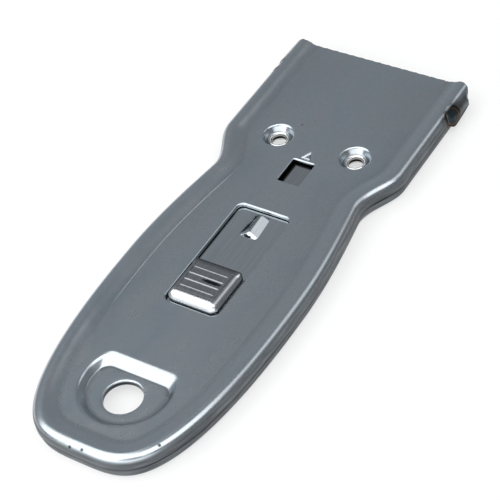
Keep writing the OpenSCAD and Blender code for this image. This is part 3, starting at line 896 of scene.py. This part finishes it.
def roll_radius(p, normal):
    """Radius of the cap's edge: large at the rear and the flanks, small in front"""
    to_front = max(normal.y, 0) ** 2
    to_rear = max(-normal.y, 0) ** 2
    near_front = ramp((p.y - button_front + BUTTON_FRONT_REACH) / BUTTON_FRONT_REACH, 0.5, 0.5)
    sharp = max(to_front, BUTTON_FRONT_SHARE * near_front)
    flank = BUTTON_FLANK + (BUTTON_FRONT_EDGE - BUTTON_FLANK) * sharp
    return flank + (BUTTON_ROLL - BUTTON_FLANK) * to_rear


ROLL_STEPS = 9
SIDE_STEPS = 3
count = len(cap_outline)
outward = []
for k in range(count):
    along = (cap_outline[(k + 1) % count] - cap_outline[k - 1]).normalized()
    outward.append(Vector((along.y, -along.x)))
cap = bmesh.new()
rings = []
for r in range(-SIDE_STEPS, ROLL_STEPS + 1):
    ring = []
    for p, normal in zip(cap_outline, outward):
        radius = roll_radius(p, normal)
        turn = math.pi / 2 * max(r, 0) / ROLL_STEPS
        q = p - normal * radius * (1 - math.cos(turn))
        brow = cap_top(p.y) - radius
        z = brow + (radius + cap_top(q.y) - cap_top(p.y)) * math.sin(turn)
        if r < 0:
            z = button_low.z + (brow - button_low.z) * (r + SIDE_STEPS) / SIDE_STEPS
        ring.append(cap.verts.new((q.x, q.y, z)))
    rings.append(ring)
for below, above in zip(rings, rings[1:]):
    for k in range(count):
        cap.faces.new((below[k], below[(k + 1) % count], above[(k + 1) % count], above[k]))
cap.faces.new(rings[0][::-1])

# The top is a lattice stretched between the four edges of the last ring
ring = rings[-1]
n_side, n_cross = len(right) - 1, len(front) - 1
edge_right = ring[:n_side + 1]
edge_front = ring[n_side:n_side + n_cross + 1]
edge_left = ring[n_side + n_cross:2 * n_side + n_cross + 1][::-1]
edge_rear = ring[:1] + ring[:2 * n_side + n_cross - 1:-1]
lattice = []
for r in range(n_side + 1):
    v = r / n_side
    row = []
    for c in range(n_cross + 1):
        u = c / n_cross
        if c == 0:
            row.append(edge_right[r])
        elif c == n_cross:
            row.append(edge_left[r])
        elif r == 0:
            row.append(edge_rear[c])
        elif r == n_side:
            row.append(edge_front[c])
        else:
            sides = edge_right[r].co * (1 - u) + edge_left[r].co * u
            ends = edge_rear[c].co * (1 - v) + edge_front[c].co * v
            corners = (edge_right[0].co * (1 - u) + edge_left[0].co * u) * (1 - v)
            corners += (edge_right[-1].co * (1 - u) + edge_left[-1].co * u) * v
            q = sides + ends - corners
            row.append(cap.verts.new((q.x, q.y, cap_top(q.y))))
    lattice.append(row)
for below, above in zip(lattice, lattice[1:]):
    for c in range(n_cross):
        cap.faces.new((below[c], above[c], above[c + 1], below[c + 1]))
bmesh.ops.recalc_face_normals(cap, faces=cap.faces)
bmesh.ops.scale(cap, vec=(MM, MM, MM), verts=cap.verts)
cap_data = bpy.data.meshes.new("thumb_button")
cap.to_mesh(cap_data)
cap.free()

# Formed steel: the rear roll and the right flank are painted lighter as a painted highlight and the top
# darker, with painted shadow along the front edge and black dirt between the ridges.
# Each spot of dirt has its place across, the ridges it lies behind the first, and its reach.
RIDGE_COUNT = 4
RIDGE_PITCH = 1.9
FIRST_RIDGE = 2.4
RIDGE_PROUD = 0.11
RIDGE_HALF_WIDTH = 0.38
RIDGE_LEFT = -4.9
RIDGE_RIGHT = 4.3
RIDGE_FADE = 0.6
OUTER_RIDGE_SHARE = 0.75
TOP_FACING = 0.8
SCUFF_SIZE = (0.5, 1.6, 1.6)
LIT_REAR = 1.5
LIT_FADE = 1.2
FLANK_TOP_SHARE = 0.3
FRONT_SHADOW_RUN = 1.5
FRONT_SHADOW_SHARE = 0.8
DIRT_SPOTS = ((1.6, 1.5, 2.6), (-4.8, 1.3, 0.7))
DIRT_SQUEEZE = 5
DIRT_BREAK = 1.2
first_ridge_y = button_front - FIRST_RIDGE
shade_start = button_rear + LIT_REAR
button_steel, tree, shader = new_material("bright_formed_steel")
place = own_place(tree)
scuff = noise(tree, place, SCUFF_SIZE, 5)
tone = tones(tree, scuff, (0.3, "#8d9093"), (0.55, "#96999c"), (0.75, "#9fa1a3"))
where = axes(tree, place)
# Painted highlight: the rear roll and the right flank take a lighter colour than the top
top_shade = stretch(tree, where["Y"], shade_start * MM, (shade_start + LIT_FADE) * MM)
on_flank = stretch(tree, where["X"], RIDGE_RIGHT * MM, (RIDGE_RIGHT + LIT_FADE) * MM, 1, FLANK_TOP_SHARE)
colour = mixed(tree, calc(tree, "MULTIPLY", top_shade, on_flank), srgb("#c6c8ca"), tone)
# Painted shadow along the front edge
shadow_start = (button_front - FRONT_SHADOW_RUN) * MM
front_shadow = stretch(tree, where["Y"], shadow_start, button_front * MM, 0, FRONT_SHADOW_SHARE)
colour = mixed(tree, front_shadow, colour, srgb("#2a2b2d"))
for x, ridges, reach in DIRT_SPOTS:
    spot = Vector((x, first_ridge_y - ridges * RIDGE_PITCH, button_top)) * MM
    from_spot = vector_calc(tree, "SUBTRACT", place, spot).outputs["Vector"]
    squeezed = vector_calc(tree, "MULTIPLY", from_spot, (1, DIRT_SQUEEZE, 1)).outputs["Vector"]
    far = vector_calc(tree, "LENGTH", squeezed).outputs["Value"]
    broken = calc(tree, "MULTIPLY_ADD", scuff, DIRT_BREAK * MM, far)
    dirt_and_shade = stretch(tree, broken, 0.9 * reach * MM, 1.3 * reach * MM, 0.95, 0)
    colour = mixed(tree, dirt_and_shade, colour, srgb("#1f1e1e"))
make_metal(tree, shader, colour, stretch(tree, scuff, 0, 1, 0.2, 0.32))
add_relief(tree, shader, scuff, 0.04, 0.006)


def new_rule(name, *inputs):
    """Node tree for a mesh, with named inputs: the tree, their values by identifier, and their sockets"""
    tree = bpy.data.node_groups.new(name, "GeometryNodeTree")
    tree.is_modifier = True
    for way in ("INPUT", "OUTPUT"):
        tree.interface.new_socket("Geometry", in_out=way, socket_type="NodeSocketGeometry")
    values = {}
    for label, kind, value in inputs:
        socket = tree.interface.new_socket(label, in_out="INPUT", socket_type="NodeSocket" + kind)
        values[socket.identifier] = value
    return tree, values, add(tree, "NodeGroupInput").outputs


def end_rule(tree, geometry, material):
    """End a node tree with real geometry that has its material"""
    real = add(tree, "GeometryNodeRealizeInstances", {"Geometry": geometry}).outputs["Geometry"]
    finished = add(tree, "GeometryNodeSetMaterial", {"Geometry": real, "Material": material})
    add(tree, "NodeGroupOutput", {"Geometry": finished.outputs["Geometry"]})


def grown(name, data, tree, values):
    """Plain mesh that a node tree makes of a base mesh"""
    holder = bpy.data.objects.new(name + "_base", data)
    bpy.context.collection.objects.link(holder)
    modifier = holder.modifiers.new(tree.name, "NODES")
    modifier.node_group = tree
    for identifier, value in values.items():
        modifier[identifier] = value
    seen = holder.evaluated_get(bpy.context.evaluated_depsgraph_get())
    made = bpy.data.meshes.new_from_object(seen)
    made.name = name
    holder.modifiers.remove(modifier)
    bpy.data.objects.remove(holder)
    return made


# The ridges are raised out of the cap by a rule: the nearest of the evenly spaced lines lifts the metal
tree, ridge_values, given = new_rule(
    "pressed_ridges",
    ("First ridge", "Float", first_ridge_y * MM), ("Pitch", "Float", RIDGE_PITCH * MM),
    ("Last number", "Float", RIDGE_COUNT - 1.0), ("Half width", "Float", RIDGE_HALF_WIDTH * MM),
    ("Height", "Float", RIDGE_PROUD * MM), ("Left end", "Float", RIDGE_LEFT * MM),
    ("Right end", "Float", RIDGE_RIGHT * MM), ("End run", "Float", RIDGE_FADE * MM),
    ("Outer share", "Float", OUTER_RIDGE_SHARE), ("Material", "Material", button_steel),
)
where = axes(tree, add(tree, "GeometryNodeInputPosition").outputs[0])
facing = axes(tree, add(tree, "GeometryNodeInputNormal").outputs[0])
behind = calc(tree, "SUBTRACT", given["First ridge"], where["Y"])
number = calc(tree, "ROUND", calc(tree, "DIVIDE", behind, given["Pitch"]))
nearest = add(tree, "ShaderNodeClamp", {"Value": number, "Min": 0, "Max": given["Last number"]}).outputs[0]
off_line = calc(tree, "SUBTRACT", behind, calc(tree, "MULTIPLY", nearest, given["Pitch"]))
apart = calc(tree, "ABSOLUTE", off_line)
lift = stretch(tree, apart, given["Half width"], 0, 0, given["Height"], "SMOOTHSTEP")
from_left = calc(tree, "SUBTRACT", where["X"], given["Left end"])
from_right = calc(tree, "SUBTRACT", given["Right end"], where["X"])
from_end = calc(tree, "MINIMUM", from_left, from_right)
end_fade = stretch(tree, from_end, 0, given["End run"], kind="SMOOTHSTEP")
middle_number = calc(tree, "MULTIPLY", given["Last number"], 0.5)
off_middle = calc(tree, "ABSOLUTE", calc(tree, "SUBTRACT", nearest, middle_number))
unworn = stretch(tree, off_middle, 0.5, middle_number, 1, given["Outer share"])
on_top = calc(tree, "GREATER_THAN", facing["Z"], TOP_FACING)
for share in (end_fade, unworn, on_top):
    lift = calc(tree, "MULTIPLY", lift, share)
upward = add(tree, "ShaderNodeCombineXYZ", {"Z": lift}).outputs[0]
ridged = add(tree, "GeometryNodeSetPosition", {"Geometry": given["Geometry"], "Offset": upward})
end_rule(tree, ridged.outputs["Geometry"], given["Material"])

FORMED_CREASE = 40
ridged_cap = grown("thumb_button_cap", cap_data, tree, ridge_values)
thumb_button = shaded_piece("thumb_button_cap", ridged_cap, button_steel, FORMED_CREASE)
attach(thumb_button, "thumb")
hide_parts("thumb_button")

# Upper shell
# The same pressing as the lower shell, with the thumb slot, the latch window and a stamped arrow
# punched in its panel. A tab on each side of the head laps over the lower shell and is spot welded.
SLOT_HALF = 6.5
SLOT_CORNER = 1.4
SLOT_REAR_GAP = 0.35
SLOT_FRONT_GAP = 1.2
SLOT_EDGE = 0.45
# Painted shade on the slot's cut wall, darkest on the left
SLOT_SHADE = 0.75
SLOT_LESS_SHADE_SHARE = 0.4
WINDOW_SIDE_GAP = 0.4
WINDOW_END_GAP = 0.2
WINDOW_CORNER = 0.35
WINDOW_EDGE = 0.28
WINDOW_SAG = 0.25
# Painted shade down the window's cut wall
WINDOW_EDGE_SHADE = 1.0
PUNCH_FLAT = 0.15
slide = next(j for j in frame["record"]["behaviour"]["joints"] if j["name"] == "blade_slide")
travel = slide["range_m"][1] / MM
slot_rear = button_rear - SLOT_REAR_GAP
slot_front = button_front + travel + SLOT_FRONT_GAP
window_rear = BUMP_REAR + travel - WINDOW_END_GAP
window_front = BUMP_REAR + BUMP_LENGTH + travel + WINDOW_END_GAP
window_half = BUMP_HALF + WINDOW_SIDE_GAP


def rounded_box(half, rear, front, corner, grow, corner_steps=8, side_steps=12):
    """Plan of a rectangle with round corners, anticlockwise, grown all round"""
    loop = []
    middles = ((half - corner, front - corner), (corner - half, front - corner),
               (corner - half, rear + corner), (half - corner, rear + corner))
    for k, middle in enumerate(middles):
        arc = corner_arc(middle, corner + grow, math.pi / 2 * k, corner_steps)
        after = corner_arc(middles[(k + 1) % 4], corner + grow, math.pi / 2 * (k + 1), corner_steps)[0]
        loop += arc
        loop += [arc[-1].lerp(after, i / side_steps) for i in range(1, side_steps)]
    return [tuple(p) for p in loop]


def slot_loop(grow):
    """Plan of the thumb slot, grown all round"""
    return rounded_box(SLOT_HALF, slot_rear, slot_front, SLOT_CORNER, grow)


def window_loop(grow):
    """Plan of the latch window, grown all round"""
    return rounded_box(window_half, window_rear, window_front, WINDOW_CORNER, grow)


slot_lip_loop = slot_loop(SLOT_EDGE + PUNCH_FLAT)
window_lip_loop = window_loop(WINDOW_EDGE + PUNCH_FLAT)


def add_slot(sheet):
    """Thumb slot, with painted shade down its left wall and less elsewhere"""
    rows = []
    for row in punched_edge(slot_loop, SLOT_EDGE, panel_z, SLOT_SHADE):
        shaded_row = []
        for outer, inner, shade_level in row:
            on_left = outer.x < SLOT_CORNER - SLOT_HALF and outer.y < slot_front - SLOT_CORNER
            shaded_row.append((outer, inner, shade_level if on_left else SLOT_LESS_SHADE_SHARE * shade_level))
        rows.append(shaded_row)
    rows.append(plan_row(slot_lip_loop, panel_z))
    add_grid(sheet, rows, closed=True, flip=True)


def add_window(sheet):
    """Latch window, whose front edge the punch bent down in the middle, with painted shade down its cut wall
    """
    rows = punched_edge(window_loop, WINDOW_EDGE, panel_z, WINDOW_EDGE_SHADE)
    for row, angle in zip(rows, EDGE_TURNS):
        most = WINDOW_SAG * math.sin(math.radians(angle))
        for outer, inner, _ in row:
            if outer.y > window_front - WINDOW_CORNER:
                sag = most * max(1 - (outer.x / window_half) ** 2, 0)
                outer.z -= sag
                inner.z -= sag
    rows.append(plan_row(window_lip_loop, panel_z))
    add_grid(sheet, rows, closed=True, flip=True)


# The arrow's groove, as pairs of a step in from its outline and a depth
ARROW_WIDTH = 3.3
ARROW_LENGTH = 3.3
ARROW_GAP = 0.6
ARROW_LIP = 0.12
ARROW_STEPS = 8
ARROW_MIDDLE = 0.31
ARROW_GROOVE = ((-0.68, 0), (-0.62, 0.12), (-0.53, 0.26), (-0.46, 0.26), (-0.06, 0.02), (0.03, 0))
arrow_rear = window_front + ARROW_GAP
arrow_middle = (0, arrow_rear + ARROW_LENGTH * ARROW_MIDDLE)


def arrow_loop(grow):
    """Plan of the stamped arrow, with its three sides moved out by grow"""
    corners = [Vector((ARROW_WIDTH / 2, arrow_rear)), Vector((0, arrow_rear + ARROW_LENGTH)),
               Vector((-ARROW_WIDTH / 2, arrow_rear))]
    lines = []
    for a, b in zip(corners, corners[1:] + corners[:1]):
        along = (b - a).normalized()
        lines.append((a + Vector((along.y, -along.x)) * grow, along))
    moved = []
    for (p, d), (q, e) in zip(lines[-1:] + lines[:-1], lines):
        moved.append(p + d * ((q - p).cross(e) / d.cross(e)))
    loop = []
    for a, b in zip(moved, moved[1:] + moved[:1]):
        loop += [tuple(a.lerp(b, i / ARROW_STEPS)) for i in range(ARROW_STEPS)]
    return loop


arrow_lip_loop = arrow_loop(ARROW_LIP)


def add_arrow(sheet):
    """Arrow stamped as a shallow groove round a flat middle"""
    rows = [plan_row([arrow_middle] * 3 * ARROW_STEPS, panel_z)]
    for grow, drop in ARROW_GROOVE:
        rows.append(plan_row(arrow_loop(grow), panel_z - drop))
    rows.append(plan_row(arrow_lip_loop, panel_z))
    add_grid(sheet, rows, closed=True, flip=True)


TAB_RAMP = 2.2
TAB_NOSE = 1.2
TAB_DROP = 1.4
TAB_SLOPE_LOW = 0.6
TAB_SLOPE_HIGH = 2.7
TAB_HANG = 1.7
TAB_RISE = 0.65
# Painted shade over the weld tab's wall and the outer side of its crest
TAB_SHADE = 0.85
TAB_BROW = 0.5
TAB_FADE = 0.9
WELD_DISH = 1.75
WELD_STEEP = 6
WELD_LIP = 0.12
WELD_LIP_PLACE = 1.25
WELD_LIP_WIDTH = 0.3
WELD_DEPTH = 0.22
tab_end = tab_front + TAB_NOSE / 3


def as_welded(y, inset, height, is_outer):
    """The upper rim swells beside the mouth into a tab that laps over the lower shell"""
    from_rear = y - weld_rear
    from_nose = (tab_end - y) / TAB_NOSE
    along = ramp(from_rear / TAB_RAMP, 0.4, 0.4) * ramp(from_nose, 0.4, 0.4)
    if height < wall_top:
        share = (wall_top - height) / (wall_top - SEAM_GAP / 2)
        hang = ramp(from_rear / TAB_HANG, 0.1, 0.6) * ramp(from_nose, 0.1, 0.6)
        forward = ramp((y - weld_spot.y) / (tab_front - weld_spot.y), 0.4, 0.2)
        height -= share * TAB_DROP * hang * (1 - TAB_RISE * forward)
    if inset >= RIM_RADIUS:
        return inset, height, fold_shade(inset)
    # Painted shade over the tab's wall, which also hides the highlight on the outer side of its crest
    dirt_and_shade = TAB_SHADE * along * (1 - ramp((inset - TAB_BROW) / TAB_FADE, 0.3, 0.3))
    fall = ramp((height - TAB_SLOPE_LOW) / (TAB_SLOPE_HIGH - TAB_SLOPE_LOW), 0.2, 0.5)
    swell = SHELL_SHEET * along * (1 - fall)
    if is_outer:
        from_spot = math.hypot(y - weld_spot.y, height - WELD_HEIGHT)
        lip = WELD_LIP * math.exp(-((from_spot - WELD_LIP_PLACE * WELD_DISH) / WELD_LIP_WIDTH) ** 2)
        dish = WELD_DEPTH * math.exp(-(from_spot / WELD_DISH) ** WELD_STEEP)
        swell = min(swell + lip, SHELL_SHEET) - dish
    return inset - swell, height, dirt_and_shade


upper_sheet = new_sheet()
upper_around = add_rim(upper_sheet, 0, as_welded)
for side in (-1, 1):
    add_dimple(upper_sheet, side)
add_recess(upper_sheet)
add_slot(upper_sheet)
add_window(upper_sheet)
add_arrow(upper_sheet)
add_panel(upper_sheet, [upper_around, dimple_loop(-1), dimple_loop(1), recess_lip_loop,
                        slot_lip_loop, window_lip_loop, arrow_lip_loop])
upper_shell = sheet_piece("upper_shell", upper_sheet, plated_steel, SHELL_EDGE)
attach(upper_shell, "housing")
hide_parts("top_shell")

# Eyelets
# Two hollow rivets, drawn from brass strip and nickel plated. Each one passes through both dimple
# floors and is rolled over at both ends, which holds the shells together behind the blade.
EYELET_BORE = 1.7
EYELET_WALL = 0.45
EYELET_CREST = 2.2
ROLL_IN = 0.25
FLARE_STEPS = 10
TURN_STEPS = 64
eyelet_flange = (eyelet_high.x - eyelet_low.x) / 2
eyelet_tip = (eyelet_high.z - eyelet_low.z) / 2
upper_half = [(EYELET_BORE, 0)]
for turn in quarter(FLARE_STEPS):
    upper_half.append((EYELET_BORE + (EYELET_CREST - EYELET_BORE) * (1 - math.cos(turn)),
                       ROLL_IN + (eyelet_tip - ROLL_IN) * math.sin(turn)))
for turn in quarter(FLARE_STEPS, first=1):
    upper_half.append((EYELET_CREST + (eyelet_flange - EYELET_CREST) * math.sin(turn),
                       SHELL_SHEET + (eyelet_tip - SHELL_SHEET) * math.cos(turn)))
upper_half.append((EYELET_BORE + EYELET_WALL, SHELL_SHEET))
eyelet_section = upper_half + [(r, -z) for r, z in upper_half[:0:-1]]
turned = bmesh.new()
eyelet_rings = []
for i in range(TURN_STEPS):
    turn = 2 * math.pi * i / TURN_STEPS
    ring = []
    for r, z in eyelet_section:
        ring.append(turned.verts.new(Vector((r * math.cos(turn), r * math.sin(turn), z)) * MM))
    eyelet_rings.append(ring)
for ring, after in zip(eyelet_rings, eyelet_rings[1:] + eyelet_rings[:1]):
    for j in range(len(ring)):
        k = (j + 1) % len(ring)
        turned.faces.new((ring[j], after[j], after[k], ring[k]))
bmesh.ops.recalc_face_normals(turned, faces=turned.faces)
eyelet_data = bpy.data.meshes.new("eyelet")
turned.to_mesh(eyelet_data)
turned.free()

# Bright nickel plate: nearly white metal, scuffed where the rolling tool bore on it, with painted shade,
# black, in the bore
NICKEL_SCUFF = (0.8, 0.8, 0.8)
BORE_SHADE = 0.45
eyelet_nickel, tree, shader = new_material("bright_nickel_plate")
place = own_place(tree)
scuff = noise(tree, place, NICKEL_SCUFF, 4)
tone = tones(tree, scuff, (0.3, "#c4c5c4"), (0.6, "#e0e0de"))
from_seam = calc(tree, "ABSOLUTE", calc(tree, "SUBTRACT", axes(tree, place)["Z"], mid * MM))
in_bore = stretch(tree, from_seam, 0.6 * BORE_SHADE * MM, BORE_SHADE * MM, 1, 0)
colour = mixed(tree, in_bore, tone, srgb("#171717"))
make_metal(tree, shader, colour, stretch(tree, scuff, 0, 1, 0.08, 0.22))

tree, eyelet_values, given = new_rule(
    "eyelet_pair",
    ("Left eyelet", "Vector", Vector((-eyelet_x, eyelet_y, mid)) * MM),
    ("Spacing", "Vector", Vector((2 * eyelet_x, 0, 0)) * MM),
    ("Count", "Int", 2), ("Material", "Material", eyelet_nickel),
)
places = add(tree, "GeometryNodeMeshLine", {
    "Count": given["Count"], "Start Location": given["Left eyelet"], "Offset": given["Spacing"],
})
set_in = add(tree, "GeometryNodeInstanceOnPoints", {
    "Points": places.outputs["Mesh"], "Instance": given["Geometry"],
})
end_rule(tree, set_in.outputs["Instances"], given["Material"])
eyelet_pair = grown("eyelets", eyelet_data, tree, eyelet_values)
eyelets = shaded_piece("eyelets", eyelet_pair, eyelet_nickel, FORMED_CREASE)
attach(eyelets, "housing")
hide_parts("left_eyelet", "right_eyelet")

# Razor blade
# A single-edge blade of hardened carbon steel, ground to a bevel on both sides of its edge. The
# carrier's channel holds it by its spine, and the slide pushes it out of the mouth.
blade_high = box_mm("razor_blade")[1]
BEVEL_LENGTH = 1.2
GRIND_SIZE = (0.12, 2.4, 1)

# Ground carbon steel: a grey body with fine grinding marks towards the edge, and a bright bevel
blade_steel, tree, shader = new_material("ground_carbon_steel")
place = own_place(tree)
grind = noise(tree, place, GRIND_SIZE, 2)
on_bevel = calc(tree, "GREATER_THAN", axes(tree, place)["Y"], (blade_high.y - BEVEL_LENGTH) * MM)
colour = mixed(tree, on_bevel, srgb("#9ea2a5"), srgb("#d4d6d7"))
make_metal(tree, shader, colour, stretch(tree, grind, 0, 1, 0.2, 0.36))
add_relief(tree, shader, grind, 0.2, 0.004)
dress("razor_blade", blade_steel)

# Blade spine
# A strip of tin-plated steel folded over the back of the blade and crimped on it. It stiffens the
# blade and fills the carrier's channel.
TIN_FLECK = (0.9, 0.9, 0.9)

# Tin plate: a soft dark grey sheen with small flecks
spine_steel, tree, shader = new_material("tin_plated_folded_strip")
fleck = noise(tree, own_place(tree), TIN_FLECK, 5)
tone = tones(tree, fleck, (0.3, "#777b7e"), (0.7, "#989b9d"))
make_metal(tree, shader, tone, stretch(tree, fleck, 0, 1, 0.3, 0.5))
dress("blade_spine", spine_steel)

# Floor, lights and camera
# A pale matt board under the scraper in a plain grey studio. Two large soft lights in front, one high on
# the left and one low, whiten what faces the butt; one overhead lights the right crest, a weak one the back.
FLOOR_SIZE = 3
FLOOR_DROP = 0.02
FLOOR_GLOW = 0.6
floor_mesh = bpy.data.meshes.new("floor")
reach = FLOOR_SIZE / 2
floor_corners = [(-reach, -reach, 0), (reach, -reach, 0), (reach, reach, 0), (-reach, reach, 0)]
floor_mesh.from_pydata(floor_corners, [], [(0, 1, 2, 3)])
floor = bpy.data.objects.new("floor", floor_mesh)
bpy.context.collection.objects.link(floor)
floor.location.z = -FLOOR_DROP * MM
board, tree, shader = new_material("pale_matt_board")
shader.inputs["Base Color"].default_value = srgb("#ededec")
shader.inputs["Roughness"].default_value = 0.9
shader.inputs["Specular IOR Level"].default_value = 0.1
path = add(tree, "ShaderNodeLightPath").outputs
mirror_rays = calc(tree, "MAXIMUM", path["Is Glossy Ray"], path["Is Transmission Ray"])
seen_rays = calc(tree, "MAXIMUM", path["Is Camera Ray"], mirror_rays)
glow = add(tree, "ShaderNodeEmission", {"Color": srgb("#ffffff"), "Strength": 1})
lit_board = add(tree, "ShaderNodeMixShader", {
    0: calc(tree, "MULTIPLY", seen_rays, FLOOR_GLOW), 1: shader.outputs["BSDF"], 2: glow.outputs["Emission"],
})
tree.links.new(lit_board.outputs["Shader"], tree.nodes["Material Output"].inputs["Surface"])
floor_mesh.materials.append(board)

studio = bpy.data.worlds.new("grey_studio")
studio.use_nodes = True
bpy.context.scene.world = studio
tree = studio.node_tree
way = axes(tree, add(tree, "ShaderNodeTexCoord").outputs["Generated"])
walls = tones(tree, stretch(tree, way["X"], -0.6, 0.8), (0.0, "#a0a4a9"), (1.0, "#7f8286"))
tree.links.new(walls, tree.nodes["Background"].inputs["Color"])
tree.nodes["Background"].inputs["Strength"].default_value = 1

LIGHT_DISTANCE = 1.2
SOFTBOXES = (
    ("front_softbox", (-0.35, -0.45, 0.82), (1.56, 1.56), 15),
    ("low_front_softbox", (0.3, -0.9, 0.32), (2.6, 0.7), 11),
    ("overhead_softbox", (0.42, -0.08, 0.9), (1, 0.9), 6),
    ("back_softbox", (0.4, 0.56, 0.72), (0.5, 0.5), 0.7),
)
for name, toward, (width, depth), power in SOFTBOXES:
    light = bpy.data.lights.new(name, "AREA")
    light.shape = "RECTANGLE"
    light.size = width
    light.size_y = depth
    light.energy = power
    lamp = bpy.data.objects.new(name, light)
    bpy.context.collection.objects.link(lamp)
    lamp.location = Vector(toward).normalized() * LIGHT_DISTANCE
    lamp.rotation_euler = Vector(toward).to_track_quat("Z", "Y").to_euler()

# The camera's place follows from the photograph's silhouette, in its frame of 500 by 500 pixels
FRAME_PIXELS = 500
FOCAL_PIXELS = 1700
AZIMUTH = math.radians(39.48)
ELEVATION = math.radians(44.91)
ROLL = math.radians(-11.29)
DISTANCE = 365.48
ORIGIN_PIXEL = (246.42, 256.55)
SENSOR = 36
level = Vector((math.cos(AZIMUTH), math.sin(AZIMUTH), 0))
ahead = Vector((-math.sin(AZIMUTH), math.cos(AZIMUTH), 0))
back = Vector((0, 0, math.sin(ELEVATION))) - ahead * math.cos(ELEVATION)
upright = back.cross(level)
right_way = level * math.cos(ROLL) + upright * math.sin(ROLL)
up_way = upright * math.cos(ROLL) - level * math.sin(ROLL)
eye = back * DISTANCE
eye -= right_way * ((ORIGIN_PIXEL[0] - FRAME_PIXELS / 2) / FOCAL_PIXELS * DISTANCE)
eye += up_way * ((ORIGIN_PIXEL[1] - FRAME_PIXELS / 2) / FOCAL_PIXELS * DISTANCE)
lens = bpy.data.cameras.new("camera")
lens.sensor_width = SENSOR
lens.lens = SENSOR * FOCAL_PIXELS / FRAME_PIXELS
lens.clip_start = 0.01
camera = bpy.data.objects.new("camera", lens)
bpy.context.collection.objects.link(camera)
turned_to = Matrix((right_way, up_way, back)).transposed().to_4x4()
camera.matrix_world = Matrix.Translation(eye * MM) @ turned_to
bpy.context.scene.camera = camera
bpy.context.scene.view_settings.view_transform = "Standard"
